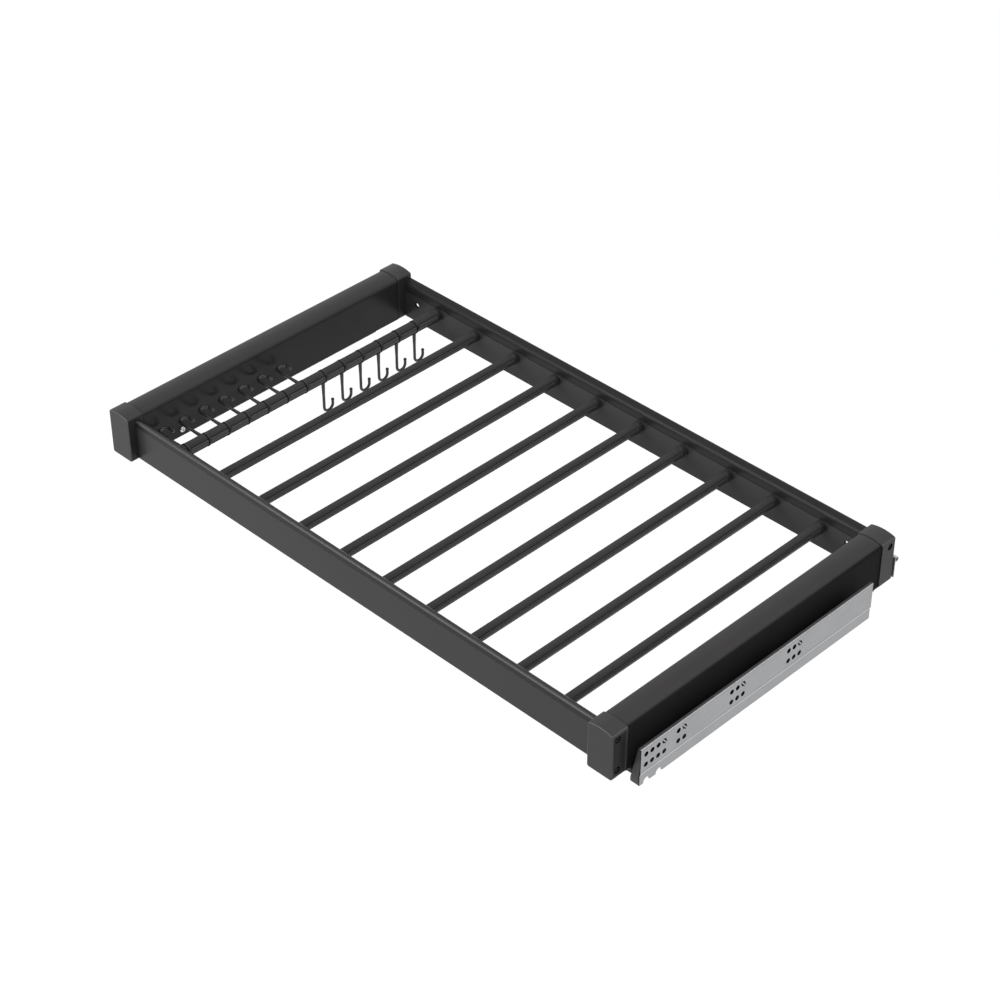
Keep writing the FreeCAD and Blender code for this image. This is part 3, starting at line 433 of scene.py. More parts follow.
FACING_LEFT = Matrix.Rotation(math.radians(-90), 4, "Y")
FACING_RIGHT = Matrix.Rotation(math.radians(90), 4, "Y")
screw = pan_screw(3.5, 2.2, 2, 16)
screws = bmesh.new()
for end, along in (("front", SCREW_FROM_END), ("rear", FRAME_DEPTH - SCREW_FROM_END)):
    for level in SCREW_LEVELS if end == "front" else SCREW_LEVELS[1:]:
        add_copy(screws, screw, Matrix.Translation((SINK_DEPTH, along, level)) @ FACING_LEFT)
        add_copy(screws, screw, Matrix.Translation((FRAME_WIDTH - SINK_DEPTH, along, level))
                 @ FACING_RIGHT)
screw.free()
finish_piece("sunk_screws", screws, [black_screw], "frame", "corner_screws")

# ---- cross rails ------------------------------------------------------------------------
# Extruded rails between the blocks, powder coated like the beams. The front one is drawn closed,
# as no side of it shows a hollow. The rear one is a channel open to the rear, with a countersunk
# hole near each end.
RAIL_DEPTH, RAIL_STEP, RAIL_FIN, RAIL_WALL = 11.5, 39.5, 47.5, 1.5
RAIL_FOOT, RAIL_EDGE, FRONT_SETBACK, REAR_SETBACK = 0.5, 0.5, 12, 0.5
FRONT_INNER, REAR_INNER = FRONT_SETBACK + RAIL_DEPTH, FRAME_DEPTH - REAR_SETBACK - RAIL_DEPTH
HOLE_INSET, HOLE_HEIGHT, HOLE_RADIUS, HOLE_RIM, COUNTERSINK = 22.5, 27, 2.9, 0.8, 0.7
HOLE_PLACES = (BLOCK_WIDTH + HOLE_INSET, FRAME_WIDTH - BLOCK_WIDTH - HOLE_INSET)
rail_finish = powder_coat("rail_charcoal", CHARCOAL, along=0, roughness=0.32, drawn=0.3)


def run_rail(end, points):
    """A section in depth from the rail's outer face, and height, run between the blocks."""
    rail = run_section(points, 0, FRAME_WIDTH - 2 * BLOCK_WIDTH)
    if end == "front":
        turn = Matrix.Translation((FRAME_WIDTH - BLOCK_WIDTH, FRONT_SETBACK, 0)) \
            @ Matrix.Rotation(math.radians(90), 4, "Z")
    else:
        turn = Matrix.Translation((BLOCK_WIDTH, FRAME_DEPTH - REAR_SETBACK, 0)) \
            @ Matrix.Rotation(math.radians(-90), 4, "Z")
    bmesh.ops.transform(rail, matrix=turn, verts=rail.verts)
    return rail


for end in ("front", "rear"):
    profile = [(0, RAIL_FOOT), (RAIL_DEPTH, RAIL_FOOT), (RAIL_DEPTH, RAIL_STEP),
               (RAIL_WALL, RAIL_STEP), (RAIL_WALL, RAIL_FIN), (0, RAIL_FIN)]
    if end == "rear":
        inside = RAIL_DEPTH - RAIL_WALL
        profile += [(0, RAIL_STEP - RAIL_WALL), (inside, RAIL_STEP - RAIL_WALL),
                    (inside, RAIL_FOOT + RAIL_WALL), (0, RAIL_FOOT + RAIL_WALL)]
    rail = run_rail(end, profile)
    soften(rail, RAIL_EDGE, 3, lambda middle, way, edge: abs(way.x) > 100 and is_sharp(edge, 50))
    if end == "rear":
        holes = bmesh.new()
        for across in HOLE_PLACES:
            add_drill(holes, HOLE_RADIUS, Vector((across, REAR_INNER - 2, HOLE_HEIGHT)),
                      Vector((across, REAR_INNER + 4, HOLE_HEIGHT)))
        rail = carve(rail, holes)
        rim_radius = HOLE_RADIUS + HOLE_RIM
        rim = turned([(HOLE_RADIUS, 0), (rim_radius, 0), (rim_radius, 0.9), (HOLE_RADIUS, 0.9)],
                     steps=32)
        rim_foot = REAR_INNER + RAIL_WALL - 0.02
        for across in HOLE_PLACES:
            add_copy(rail, rim, Matrix.Translation((across, rim_foot, HOLE_HEIGHT))
                     @ Matrix.Rotation(math.radians(-90), 4, "X"))
        rim.free()
        soften(rail, COUNTERSINK, 2, lambda middle, way, edge: abs(middle.z - HOLE_HEIGHT) < 3
               and is_sharp(edge, 60) and abs(middle.y - REAR_INNER) < 0.01)
        # The hole walls and the ring behind each hole are painted black as painted shade.
        paint(rail, 1, lambda middle, facing: abs(middle.z - HOLE_HEIGHT) < rim_radius
              and abs(facing.y) < 0.95 and REAR_INNER < middle.y < REAR_INNER + RAIL_WALL + 1)
    finish_piece(f"{end}_cross_rail", rail, [rail_finish, painted_shade_black], "frame", f"{end}_rail")

# ---- caps of the cross rails ------------------------------------------------------------
# A separate hood profile snaps over the fin of each rail. Its outer crest is painted paler as a
# painted highlight. It falls in a soft curve to the inner side, where a fine groove parts it from
# the rail.
CAP_GROOVE, CAP_RECESS, CAP_SHOULDER, CAP_SLOPE_FOOT, SLOPE_ROUND = 1.1, 0.1, 54, 48, 10.5
CREST_IN, CREST_HEIGHT, CREST_ROUND, CAP_EDGE = 3.4, 56.6, 3.2, 0.3
cap_finish = powder_coat("cap_charcoal", (0.022, 0.0206, 0.022), along=0, roughness=0.30,
                         gloss=0.13, drawn=0.3)
crest_painted_highlight = powder_coat("painted_highlight_crest", (0.062, 0.0595, 0.062), along=0, roughness=0.28,
                           gloss=0.3)
for end in ("front", "rear"):
    beside_fin, over_fin = RAIL_WALL + 0.5, RAIL_FIN + 0.1
    lip, lip_foot = RAIL_DEPTH - CAP_GROOVE, RAIL_STEP + CAP_GROOVE
    cap = run_rail(end, [(beside_fin, RAIL_STEP), (lip, RAIL_STEP), (lip, lip_foot),
                         (RAIL_DEPTH, lip_foot), (RAIL_DEPTH, CAP_SLOPE_FOOT, SLOPE_ROUND),
                         (CREST_IN, CREST_HEIGHT, CREST_ROUND), (CAP_RECESS, CAP_SHOULDER),
                         (CAP_RECESS, over_fin), (beside_fin, over_fin)])
    soften(cap, CAP_EDGE, 2, lambda middle, way, edge: abs(way.x) > 100 and is_sharp(edge, 40))
    outward = -1 if end == "front" else 1
    # The outer crest is painted paler as a painted highlight.
    paint(cap, 1, lambda middle, facing: middle.z > CAP_SHOULDER + 0.1
          and facing.y * outward > 0.25)
    finish_piece(f"{end}_rail_hood", cap, [cap_finish, crest_painted_highlight], "frame", f"{end}_rail_cap")

# ---- trouser rods -----------------------------------------------------------------------
# Nine aluminium tubes, 14 mm across. Each has a shallow recess along its top that takes a strip
# of soft ribbed rubber, flush with the tube, so that trousers don't slip.
ROD_HEIGHT, ROD_PITCH, THIN, THIN_RODS = 31, 71.5, 7, range(1, 10)
FIRST_ROD = FRAME_WIDTH / 2 - 4.5 * ROD_PITCH
ROD_START, ROD_STOP = FRONT_INNER + 1.5, REAR_INNER - 1.5
STRIP_HALF, STRIP_DEPTH, SEAM_OPEN = math.radians(58), 0.9, 0.85
RIB_STEPS, RIB_TOP, RIB_GROOVE = 4, 0.02, 0.10
rod_finish = powder_coat("rod_charcoal", (0.076, 0.0728, 0.076), along=1, roughness=0.32,
                         gloss=0.22, drawn=0.5)
# A paler copy of the coat, painted on the recess's lips as a painted highlight.
lip_painted_highlight = powder_coat("painted_highlight_lip", (0.115, 0.111, 0.115), along=1, roughness=0.3, gloss=0.2)


def on_rod(radius, angle):
    """A point of a rod's section at an angle from its top, to the right."""
    return radius * math.sin(angle), radius * math.cos(angle)


def rod_tube(radius, lip):
    """A tube with the strip's recess along its top, about the Y axis. The recess and the
    underside are painted black as painted shade, and the recess's lips, as wide as said, are
    painted paler as a painted highlight."""
    low, flank, recess_edge = radius - STRIP_DEPTH, math.pi * 0.63, radius - STRIP_DEPTH * 0.4
    lip_angle = STRIP_HALF + 0.7 * lip / radius
    tube = run_section([(*on_rod(radius, -STRIP_HALF), radius), (*on_rod(radius, -flank), radius),
                        (*on_rod(radius, math.pi), radius), (*on_rod(radius, flank), radius),
                        on_rod(radius, STRIP_HALF), (*on_rod(low, STRIP_HALF), low),
                        on_rod(low, -STRIP_HALF)], ROD_START, ROD_STOP)
    # The recess and the underside are painted black as painted shade.
    paint(tube, 1, lambda middle, facing: abs(facing.y) < 0.5
          and (facing.z < -0.3 or math.hypot(middle.x, middle.z) < recess_edge))
    soften(tube, lip, 3, lambda middle, way, edge: abs(way.y) > 100 and is_sharp(edge, 50)
           and math.hypot(middle.x, middle.z) > radius - 0.1)
    # The lips are painted paler as a painted highlight.
    paint(tube, 2, lambda middle, facing: abs(facing.y) < 0.5
          and math.hypot(middle.x, middle.z) > recess_edge
          and abs(math.atan2(middle.x, middle.z)) < lip_angle)
    return tube


def rod_strip(radius, ribs):
    """The ribbed strip of one rod, about the Y axis."""
    half, low, end_play = STRIP_HALF - SEAM_OPEN / radius, radius - STRIP_DEPTH + 0.05, 0.2
    steps = ribs * RIB_STEPS
    strip = bmesh.new()
    pen = strip.verts.new((low * math.sin(half), 0, low * math.cos(half)))
    bmesh.ops.spin(strip, geom=[pen], cent=(0, 0, 0), axis=(0, -1, 0), angle=2 * half, steps=steps)
    band = bmesh.ops.extrude_edge_only(strip, edges=strip.edges[:])["geom"]
    for vert in verts_in(band):
        count = round((half - math.atan2(vert.co.x, vert.co.z)) / (2 * half) * steps)
        vert.co *= (radius - (RIB_GROOVE if count % RIB_STEPS in (1, 2) else RIB_TOP)) / low
    bmesh.ops.translate(strip, verts=strip.verts, vec=(0, ROD_START + end_play, 0))
    run = bmesh.ops.extrude_face_region(strip, geom=strip.faces[:])["geom"]
    bmesh.ops.translate(strip, verts=verts_in(run), vec=(0, ROD_STOP - ROD_START - 2 * end_play, 0))
    bmesh.ops.recalc_face_normals(strip, faces=strip.faces)
    return strip


def rod_place(number):
    """The place of a rod's centre line. Number 0 is the accessory rod."""
    return Matrix.Translation((FIRST_ROD + ROD_PITCH * number, 0, ROD_HEIGHT))


for number in THIN_RODS:
    tube = rod_tube(THIN, 0.35)
    bmesh.ops.transform(tube, matrix=rod_place(number), verts=tube.verts)
    finish_piece(f"rod_{number}", tube, [rod_finish, painted_shade_black, lip_painted_highlight], "frame",
                 f"trouser_rod_{number}")

strip_finish, add, feed = new_finish("soft_rubber")
place = add("TexCoord").outputs["Object"]
dust = add("TexNoise", {"Vector": place, "Scale": 60.0, "Detail": 5.0, "Roughness": 0.6})
grain = add("TexNoise", {"Vector": place, "Scale": 3200.0, "Detail": 2.0})
shade = add("MixRGB", {"Fac": dust.outputs["Fac"], "Color1": (0.044, 0.042, 0.044, 1),
                       "Color2": (0.055, 0.053, 0.055, 1)})
bump = add("Bump", {"Height": grain.outputs["Fac"], "Strength": 0.15, "Distance": 0.0001})
feed(Base_Color=shade.outputs["Color"], Roughness=0.62, Specular_IOR_Level=0.12,
     Normal=bump.outputs["Normal"])
strips = bmesh.new()
strip = rod_strip(THIN, 7)
for number in THIN_RODS:
    add_copy(strips, strip, rod_place(number))
strip.free()
finish_piece("grip_strips", strips, [strip_finish], "frame", "rod_grip_strips")

# ---- accessory rod ----------------------------------------------------------------------
# One thicker tube beside the left beam, 17 mm across, made like the others. The hooks turn on it.
THICK = 8.5
tube = rod_tube(THICK, 0.6)
bmesh.ops.transform(tube, matrix=rod_place(0), verts=tube.verts)
hook_rod_finish = powder_coat("hook_rod_charcoal", (0.098, 0.094, 0.098), along=1, roughness=0.32,
                              gloss=0.22, drawn=0.5)
finish_piece("hook_rod", tube, [hook_rod_finish, painted_shade_black, lip_painted_highlight], "frame", "accessory_rod")
strip = rod_strip(THICK, 8)
bmesh.ops.transform(strip, matrix=rod_place(0), verts=strip.verts)
finish_piece("hook_rod_strip", strip, [strip_finish], "frame", "accessory_rod_strip")

# ---- rod collars ------------------------------------------------------------------------
# Moulded nylon cups on both ends of every rod. A stub behind each one snaps into the rail. A
# groove runs round the cup, and its mouth is chamfered.
COLLAR_WALL, COLLAR_PLAY, COLLAR_LENGTH = 0.8, 0.05, 8
collar_finish, add, feed = new_finish("moulded_nylon")
place = add("TexCoord").outputs["Object"]
marks = add("TexNoise", {"Vector": place, "Scale": 1500.0, "Detail": 3.0, "Roughness": 0.6})
shade = add("MixRGB", {"Fac": marks.outputs["Fac"], "Color1": (0.032, 0.0305, 0.032, 1),
                       "Color2": (0.042, 0.0405, 0.042, 1)})
bump = add("Bump", {"Height": marks.outputs["Fac"], "Strength": 0.12, "Distance": 0.0001})
feed(Base_Color=shade.outputs["Color"], Roughness=0.40, Specular_IOR_Level=0.22,
     Normal=bump.outputs["Normal"])


def rod_collar(radius):
    """One collar about Z, its back on Z = 0."""
    outer, bore = radius + COLLAR_WALL, radius + COLLAR_PLAY
    groove = bore + 0.1
    return turned([(bore, 0.2), (outer - 0.3, 0), (outer, 0.3), (outer, 2.2), (groove, 2.5),
                   (groove, 3.5), (outer, 3.8), (outer, 7.1), (outer - 0.45, COLLAR_LENGTH),
                   (groove, COLLAR_LENGTH), (bore, 7.8)], steps=56)


INTO_RACK = {"front": (FRONT_INNER, -90), "rear": (REAR_INNER, 90)}


def add_collar(whole, collar, end, number):
    """Adds the collar that sits on that end of a rod."""
    face, turn = INTO_RACK[end]
    add_copy(whole, collar, rod_place(number) @ Matrix.Translation((0, face, 0))
             @ Matrix.Rotation(math.radians(turn), 4, "X"))


collar = rod_collar(THIN)
for end in ("front", "rear"):
    row = bmesh.new()
    for number in THIN_RODS:
        add_collar(row, collar, end, number)
    finish_piece(f"{end}_collars", row, [collar_finish], "frame", f"{end}_rod_collars")
collar.free()
collar = rod_collar(THICK)
pair = bmesh.new()
for end in ("front", "rear"):
    add_collar(pair, collar, end, 0)
collar.free()
finish_piece("hook_rod_collars", pair, [collar_finish], "frame", "accessory_rod_collars")

# ---- hooks ------------------------------------------------------------------------------
# Thirteen small hooks, each moulded in one: a thin ring close on the accessory rod, stepped at
# its front, a tapering stem and a glossy J with a knob. Seven are swung up level, six hang.
FIRST_HOOK, HOOK_PITCH, HOOKS, LEVEL_HOOKS = 38.2, 31.85, 13, 7
RING_BORE, RING_OUTSIDE, RING_HALF = THICK + 0.12, THICK + 0.5, 2.3
WIRE, BEND, BEND_CENTRE, TIP_RISE, KNOB, KNOB_FOOT = 1.9, 7.3, 48.1, 5.5, 2.3, -2.6
STEM_ROOT, ROOT_RADIUS, KNOB_ANGLES = -THICK - 0.3, 3.2, (-50, -25, 0, 25, 50, 72)
STEM = ((-0.55, 3.0, 2.5), (-1.0, 2.7, 2.45), (-4, 2.45, 2.35), (-7, 2.2, 2.15), (-8, WIRE, WIRE))
hook_finish = powder_coat("hook_charcoal", (0.020, 0.0192, 0.020), along=2, roughness=0.24,
                          gloss=0.5, grain=0.4)


def grow(mesh, rim, move, width, depth):
    """Extrudes an open round rim by a step and sets its half width in X and depth in Y."""
    step = bmesh.ops.extrude_edge_only(mesh, edges=rim)["geom"]
    fresh = verts_in(step)
    middle = sum((vert.co for vert in fresh), Vector()) / len(fresh)
    half_x = max(abs(vert.co.x - middle.x) for vert in fresh)
    half_y = max(abs(vert.co.y - middle.y) for vert in fresh)
    bmesh.ops.scale(mesh, verts=fresh, vec=(width / half_x, depth / half_y, 1),
                    space=Matrix.Translation(-middle))
    bmesh.ops.translate(mesh, verts=fresh, vec=(0, 0, move))
    return [part for part in step if isinstance(part, bmesh.types.BMEdge)
            and all(vert in fresh for vert in part.verts)]


def make_hook():
    """A hanging hook about the rod's centre line, its J open to the rear. Each step of the stem is
    a move and the half width and depth that it ends with."""
    hook = bmesh.new()
    level = STEM_ROOT
    top = bmesh.ops.create_circle(hook, segments=20, radius=ROOT_RADIUS, cap_ends=False,
                                  matrix=Matrix.Translation((0, 0, level)))["verts"]
    rim = list({edge for vert in top for edge in vert.link_edges})
    for move, width, depth in STEM:
        rim = grow(hook, rim, move, width, depth)
        level += move
    rim = grow(hook, rim, -BEND_CENTRE - level, WIRE, WIRE)
    bend = bmesh.ops.spin(hook, geom=rim + list({vert for edge in rim for vert in edge.verts}),
                          cent=(0, BEND, -BEND_CENTRE), axis=(1, 0, 0), angle=math.pi, steps=18)
    rim = [part for part in bend["geom_last"] if isinstance(part, bmesh.types.BMEdge)]
    rim = grow(hook, rim, TIP_RISE + KNOB_FOOT, WIRE, WIRE)
    level = KNOB_FOOT
    for angle in KNOB_ANGLES:
        new_level = KNOB * math.sin(math.radians(angle))
        wide = KNOB * math.cos(math.radians(angle))
        rim = grow(hook, rim, new_level - level, wide, wide)
        level = new_level
    bmesh.ops.edgeloop_fill(hook, edges=rim)
    bmesh.ops.edgeloop_fill(hook, edges=[edge for edge in hook.edges if edge.is_boundary])
    ring = turned([(RING_BORE, -RING_HALF), (RING_BORE + 0.04, -RING_HALF),
                   (RING_OUTSIDE, RING_HALF - 1.5), (RING_OUTSIDE, RING_HALF - 1.1),
                   (RING_BORE + 0.06, RING_HALF - 1.0), (RING_BORE + 0.06, RING_HALF),
                   (RING_BORE, RING_HALF)], steps=64)
    paint(ring, 2, lambda middle, facing: True)
    # The step at the ring's front is painted black as painted shade.
    paint(ring, 1, lambda middle, facing: middle.z > RING_HALF - 1.08)
    add_copy(hook, ring, Matrix.Rotation(math.radians(90), 4, "X"))
    ring.free()
    return hook


hook = make_hook()
SWUNG_UP = Matrix.Rotation(math.radians(90), 4, "Y")
for count in range(HOOKS):
    placed = bmesh.new()
    turn = SWUNG_UP if count < LEVEL_HOOKS else Matrix.Identity(4)
    along = Matrix.Translation((0, FIRST_HOOK + HOOK_PITCH * count, 0))
    add_copy(placed, hook, rod_place(0) @ along @ turn)
    node = f"hook_{count + 1:02d}"
    finish_piece(f"{node}_moulding", placed, [hook_finish, painted_shade_black, collar_finish], node, node,
                 sharp=40)
hook.free()

# ---- cabinet rails ----------------------------------------------------------------------
# Roll-formed zinc-coated sheet, 1.2 mm thick: a tall flange with its screw holes, a joggle, and
# a channel turned in under the beam. The coat is bright with a fine grain along the rolling. The
# top edge and a line above the joggle are painted bright as painted highlights, and lines beside
# them, the holes' walls, the front end and the channel's inside are painted dark as painted shade.
SHEET, SHEET_EDGE, SHARP_FOLD = 0.0012, 0.00022, 38
MERGE_METRES, SLIVER = 2e-6, 3e-5


def copy_of(node):
    """A merged copy of a node's mesh, in metres, with its flat faces joined."""
    copy = bmesh.new()
    copy.from_mesh(nodes[node].data)
    bmesh.ops.remove_doubles(copy, verts=copy.verts, dist=MERGE_METRES)
    bmesh.ops.dissolve_limit(copy, angle_limit=math.radians(0.5), verts=copy.verts,
                             edges=copy.edges)
    return copy


IN_PLACE = Matrix.Identity(4)


def sheet_piece(name, node, finishes, body, levels=(), marks=(), slits=None):
    """A piece of formed sheet: the node's own shape with its edges rounded over. It is slit, and
    its faces are split at levels where painted bands begin. Each mark is a finish's number and a
    test of the faces that it goes on."""
    sheet = copy_of(node)
    if slits:
        sheet = carve(sheet, slits)
        bmesh.ops.dissolve_degenerate(sheet, dist=SLIVER, edges=sheet.edges)
    for level in levels:
        bmesh.ops.bisect_plane(sheet, geom=sheet.verts[:] + sheet.edges[:] + sheet.faces[:],
                               plane_co=(0, 0, level), plane_no=(0, 0, 1), dist=1e-6)
    soften(sheet, SHEET_EDGE, 2, lambda middle, way, edge: is_sharp(edge, SHARP_FOLD))
    for number, chosen in marks:
        paint(sheet, number, chosen)
    finish_piece(name, sheet, finishes, body, node, sharp=SHARP_FOLD, placed=IN_PLACE)


def zinc_coat(name, colour, roughness=0.36, metallic=0.75):
    """Bright zinc coat: a fine grain along the sheet, soft cloudy patches, a little dulled."""
    material, add, feed = new_finish(name)
    place = add("TexCoord").outputs["Object"]
    rolled = add("Mapping", {"Vector": place, "Scale": (1.0, 0.02, 1.0)})
    lines = add("TexNoise", {"Vector": rolled.outputs["Vector"], "Scale": 1400.0, "Detail": 3.0})
    clouds = add("TexNoise", {"Vector": place, "Scale": 26.0, "Detail": 5.0, "Roughness": 0.6})
    spangle = add("TexVoronoi", {"Vector": place, "Scale": 420.0})
    bright = spread(add, clouds, 0.94, 1.05)
    fine = spread(add, lines, 0.95, 1.05)
    both = add("Math", {0: bright, 1: fine}, operation="MULTIPLY")
    coat = add("VectorMath", {0: colour, "Scale": both.outputs["Value"]}, operation="SCALE")
    dull = add("MapRange", {"Value": spangle.outputs["Distance"], "From Max": 0.8,
                            "To Min": roughness - 0.03, "To Max": roughness + 0.05})
    bump = add("Bump", {"Height": lines.outputs["Fac"], "Strength": 0.10, "Distance": 0.0001})
    feed(Base_Color=coat.outputs["Vector"], Roughness=dull.outputs["Result"], Metallic=metallic,
         Normal=bump.outputs["Normal"])
    return material


zinc = zinc_coat("zinc_sheet", (0.40, 0.405, 0.415))
# A bright copy of the coat, painted on as highlights, and two dark copies, painted on as shade.
zinc_painted_highlight = zinc_coat("zinc_painted_highlight", (0.78, 0.785, 0.80), roughness=0.3)
channel_painted_shade = zinc_coat("painted_shade_channel", (0.07, 0.069, 0.066), roughness=0.5, metallic=0.5)
zinc_painted_shade = zinc_coat("zinc_painted_shade", (0.17, 0.172, 0.176), roughness=0.4)
HOLE_BAND, CREASES = (-0.0034, 0.0180), (-0.0110, -0.0097, -0.0087)
CHANNEL_TOP, CHANNEL_SIDE = -0.0129, 0.0026
rail_low, rail_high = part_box("left_cabinet_rail")
RAIL_FRONT, RAIL_REAR, FLANGE_TOP = rail_low[1], rail_high[1], rail_high[2]
RACK_RIGHT = frame_box[1][0]
# The lower edges of the painted highlight along the top and of the painted shade line below it.
PAINTED_HIGHLIGHT_FOOT, PAINTED_SHADE_FOOT = FLANGE_TOP - 0.0008, FLANGE_TOP - 0.0017
TABS, TAB_LEVEL, TAB_SLOPE = (0.037, 0.069, 0.165, 0.261), 0.0145, math.radians(-50)
SLIT_OFFSET, SLIT_SIZE = 0.00145, (0.003, 0.0092, 0.0011)


def from_side(middle):
    """How far in from the nearer side of the rack a point is."""
    return min(middle.x, RACK_RIGHT - middle.x)


def is_painted_highlight(middle, facing):
    """The top edge, and a line above the joggle, painted bright as painted highlights."""
    return middle.z > PAINTED_HIGHLIGHT_FOOT or (CREASES[0] < middle.z < CREASES[1] and abs(facing.x) > 0.9)


def is_painted_shade(middle, facing):
    """A line just above the painted highlight over the joggle, and a line below the top edge,
    both painted dark as painted shade.
    """
    return abs(facing.x) > 0.9 and (CREASES[1] < middle.z < CREASES[2]
                                    or PAINTED_SHADE_FOOT < middle.z < PAINTED_HIGHLIGHT_FOOT)


def is_channel_painted_shade(middle, facing):
    """The inside of the channel, painted dark as painted shade."""
    return from_side(middle) > CHANNEL_SIDE and middle.z < CHANNEL_TOP and facing.z > -0.5


def is_in_hole(middle, facing):
    """The walls of the screw holes, and the flange's sheared front end, painted black as painted
    shade.
    """
    if facing.y < -0.5 and middle.y < RAIL_FRONT + 0.001:
        return True
    return (HOLE_BAND[0] < middle.z < HOLE_BAND[1] and abs(facing.x) < 0.5
            and from_side(middle) < SHEET + 0.0001
            and RAIL_FRONT + 0.001 < middle.y < RAIL_REAR - 0.001)


def tab_slits(side):
    """Cutters for the two slits beside each bent tab of the upper row."""
    slits = bmesh.new()
    across = SHEET / 2 if side == "left" else RACK_RIGHT - SHEET / 2
    for place in TABS:
        tab = Matrix.Translation((across, RAIL_FRONT + place, TAB_LEVEL)) \
            @ Matrix.Rotation(TAB_SLOPE, 4, "X")
        for beside in (-SLIT_OFFSET, SLIT_OFFSET):
            bmesh.ops.create_cube(slits, size=1, matrix=tab @ Matrix.Translation((0, 0, beside))
                                  @ Matrix.Diagonal((*SLIT_SIZE, 1)))
    return slits


for side in ("left", "right"):
    sheet_piece(f"{side}_wall_rail", f"{side}_cabinet_rail",
                [zinc, zinc_painted_highlight, painted_shade_black, channel_painted_shade, zinc_painted_shade],
                "cabinet_rails", CREASES + (PAINTED_HIGHLIGHT_FOOT, PAINTED_SHADE_FOOT),
                [(1, is_painted_highlight), (2, is_in_hole), (3, is_channel_painted_shade), (4, is_painted_shade)], tab_slits(side))

# ---- edge guards ------------------------------------------------------------------------
# Dark coated strips folded over the top of each cabinet rail, with a gusset that closes the gap
# at the front.
guard_finish = powder_coat("guard_grey", (0.078, 0.076, 0.080), along=1, roughness=0.4, gloss=0.2)
for side in ("left", "right"):
    sheet_piece(f"{side}_rail_guard", f"{side}_edge_guard", [guard_finish], "cabinet_rails")

# ---- middle and drawer rails ------------------------------------------------------------
# The slides' inner members, roll formed from the same sheet. The drawer rails are screwed to the
# beams, and their tails stand up behind the rear blocks, each rolled into an eye.
inner_zinc = zinc_coat("inner_zinc", (0.46, 0.465, 0.475), roughness=0.3)
for side in ("left", "right"):
    sheet_piece(f"{side}_slide_middle", f"{side}_middle_rail", [inner_zinc], f"{side}_middle_rail")
    sheet_piece(f"{side}_slide_top", f"{side}_drawer_rail", [inner_zinc], "frame")

# ---- lock screws ------------------------------------------------------------------------
# Bright pan head screws through the inner wall of each beam into the drawer rail.
LOCK_PLACE, LOCK_HEIGHT = 81, 9.5
bright_zinc = zinc_coat("bright_zinc", (0.66, 0.67, 0.69), roughness=0.22, metallic=0.95)
screw = pan_screw(3.8, 2.4, 2, 4.2)
locks = bmesh.new()
for across, facing in ((BEAM_INNER, FACING_RIGHT), (FRAME_WIDTH - BEAM_INNER, FACING_LEFT)):
    add_copy(locks, screw, Matrix.Translation((across, LOCK_PLACE, LOCK_HEIGHT)) @ facing)
screw.free()
finish_piece("rail_lock_screws", locks, [bright_zinc], "frame", "lock_screws")

# ---- cages, rollers and balls -----------------------------------------------------------
# Steel rollers and balls run between the slides' members in moulded cages.
cage_finish, add, feed = new_finish("cage_nylon")
place = add("TexCoord").outputs["Object"]
mould = add("TexNoise", {"Vector": place, "Scale": 240.0, "Detail": 4.0})
shade = add("MixRGB", {"Fac": mould.outputs["Fac"], "Color1": (0.60, 0.60, 0.57, 1),
                       "Color2": (0.70, 0.70, 0.67, 1)})
bump = add("Bump", {"Height": mould.outputs["Fac"], "Strength": 0.1, "Distance": 0.0001})
feed(Base_Color=shade.outputs["Color"], Roughness=0.5, Normal=bump.outputs["Normal"])

steel, add, feed = new_finish("bearing_steel")
place = add("TexCoord").outputs["Object"]
polish = add("TexNoise", {"Vector": place, "Scale": 1800.0, "Detail": 2.0})
soft = add("MapRange", {"Value": polish.outputs["Fac"], "To Min": 0.10, "To Max": 0.2})
feed(Base_Color=(0.62, 0.62, 0.63, 1), Metallic=1.0, Roughness=soft.outputs["Result"])


def dress(node, finish):
    """Gives a solid that is shown as it is its finish."""
    slots = nodes[node].data.materials
    slots.clear()
    slots.append(finish)


for side in ("left", "right"):
    for part in ("lower_cage", "upper_cage"):
        dress(f"{side}_{part}", cage_finish)
    for part in ("rollers", "balls"):
        dress(f"{side}_{part}", steel)
        nodes[f"{side}_{part}"].data.shade_smooth()

# ---- floor and light --------------------------------------------------------------------
# The rack is shown above a white floor in a pale room whose right side is in shade, under two
# large soft lamps: one above and one in front.
FLOOR_DROP, FLOOR_HALF, FLOOR_GREY, FLOOR_LIFT = 0.55, 30, 0.16, 0.9


def seen_directly(add):
    """1 for a ray from the camera or from a glossy or clear surface, and 0 for diffuse light."""
    rays = add("LightPath").outputs
    seen = add("Math", {0: rays["Is Camera Ray"], 1: rays["Is Glossy Ray"]}, operation="MAXIMUM")
    return add("Math", {0: seen.outputs["Value"], 1: rays["Is Transmission Ray"]},
               operation="MAXIMUM").outputs["Value"]


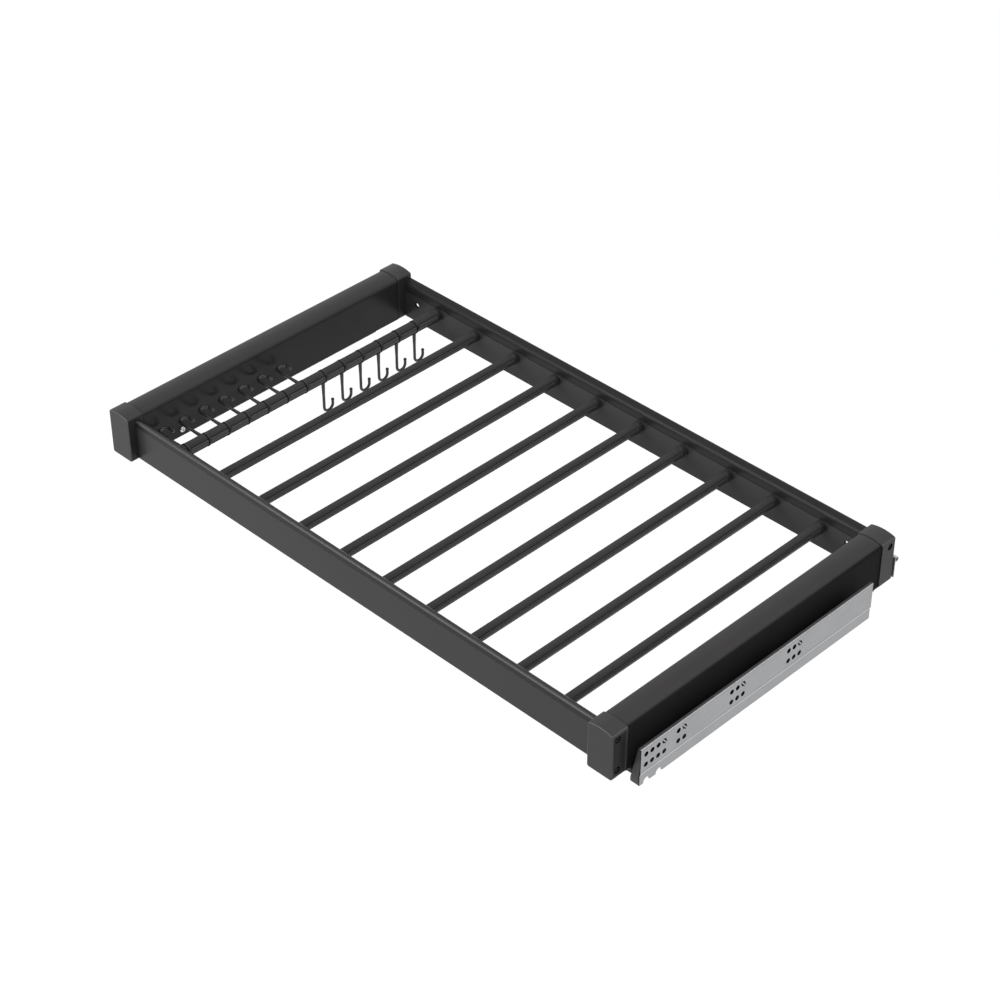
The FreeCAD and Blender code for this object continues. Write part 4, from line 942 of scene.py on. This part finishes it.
floor_mesh = bmesh.new()
bmesh.ops.create_grid(floor_mesh, x_segments=1, y_segments=1, size=FLOOR_HALF)
bmesh.ops.translate(floor_mesh, verts=floor_mesh.verts, vec=(0, 0, frame_box[0][2] - FLOOR_DROP))
floor_data = bpy.data.meshes.new("floor")
floor_mesh.to_mesh(floor_data)
floor_mesh.free()
floor = bpy.data.objects.new("floor", floor_data)
bpy.context.collection.objects.link(floor)
floor_finish, add, feed = new_finish("floor_white")
lift = add("Math", {0: seen_directly(add), 1: FLOOR_LIFT}, operation="MULTIPLY")
feed(Base_Color=(FLOOR_GREY, FLOOR_GREY, FLOOR_GREY, 1), Roughness=0.9, Specular_IOR_Level=0.0,
     Emission_Color=(1, 1, 1, 1), Emission_Strength=lift.outputs["Value"])
floor_data.materials.append(floor_finish)

world = bpy.data.worlds.new("studio")
bpy.context.scene.world = world
world.use_nodes = True
add = node_maker(world.node_tree)
clear = seen_directly(add)
sideways = add("SeparateXYZ", {0: add("TexCoord").outputs["Generated"]})
shade = add("MapRange", {"Value": sideways.outputs["X"], "From Min": 0.6, "From Max": 0.95,
                         "To Min": 0.60, "To Max": 0.08})
level = add("Mix", {"Factor": clear, "A": shade.outputs["Result"], "B": 1.0})
surround = world.node_tree.nodes["Background"]
world.node_tree.links.new(level.outputs["Result"], surround.inputs["Strength"])
surround.inputs["Color"].default_value = (1, 1, 1, 1)


def add_lamp(name, energy, size, place, aim):
    """A large soft lamp turned towards a point."""
    data = bpy.data.lights.new(name, "AREA")
    data.energy = energy
    data.shape = "RECTANGLE"
    data.size, data.size_y = size
    lamp = bpy.data.objects.new(name, data)
    bpy.context.collection.objects.link(lamp)
    lamp.location = place
    lamp.rotation_euler = (Vector(aim) - Vector(place)).to_track_quat("-Z", "Y").to_euler()


RACK_MIDDLE = (0.43, 0.06, 0.0)
add_lamp("front_lamp", 46, (2.4, 1.4), (-0.5, -2.5, 0.8), RACK_MIDDLE)
add_lamp("top_lamp", 18, (2.6, 2.2), (1.0, 0.5, 2.4), RACK_MIDDLE)
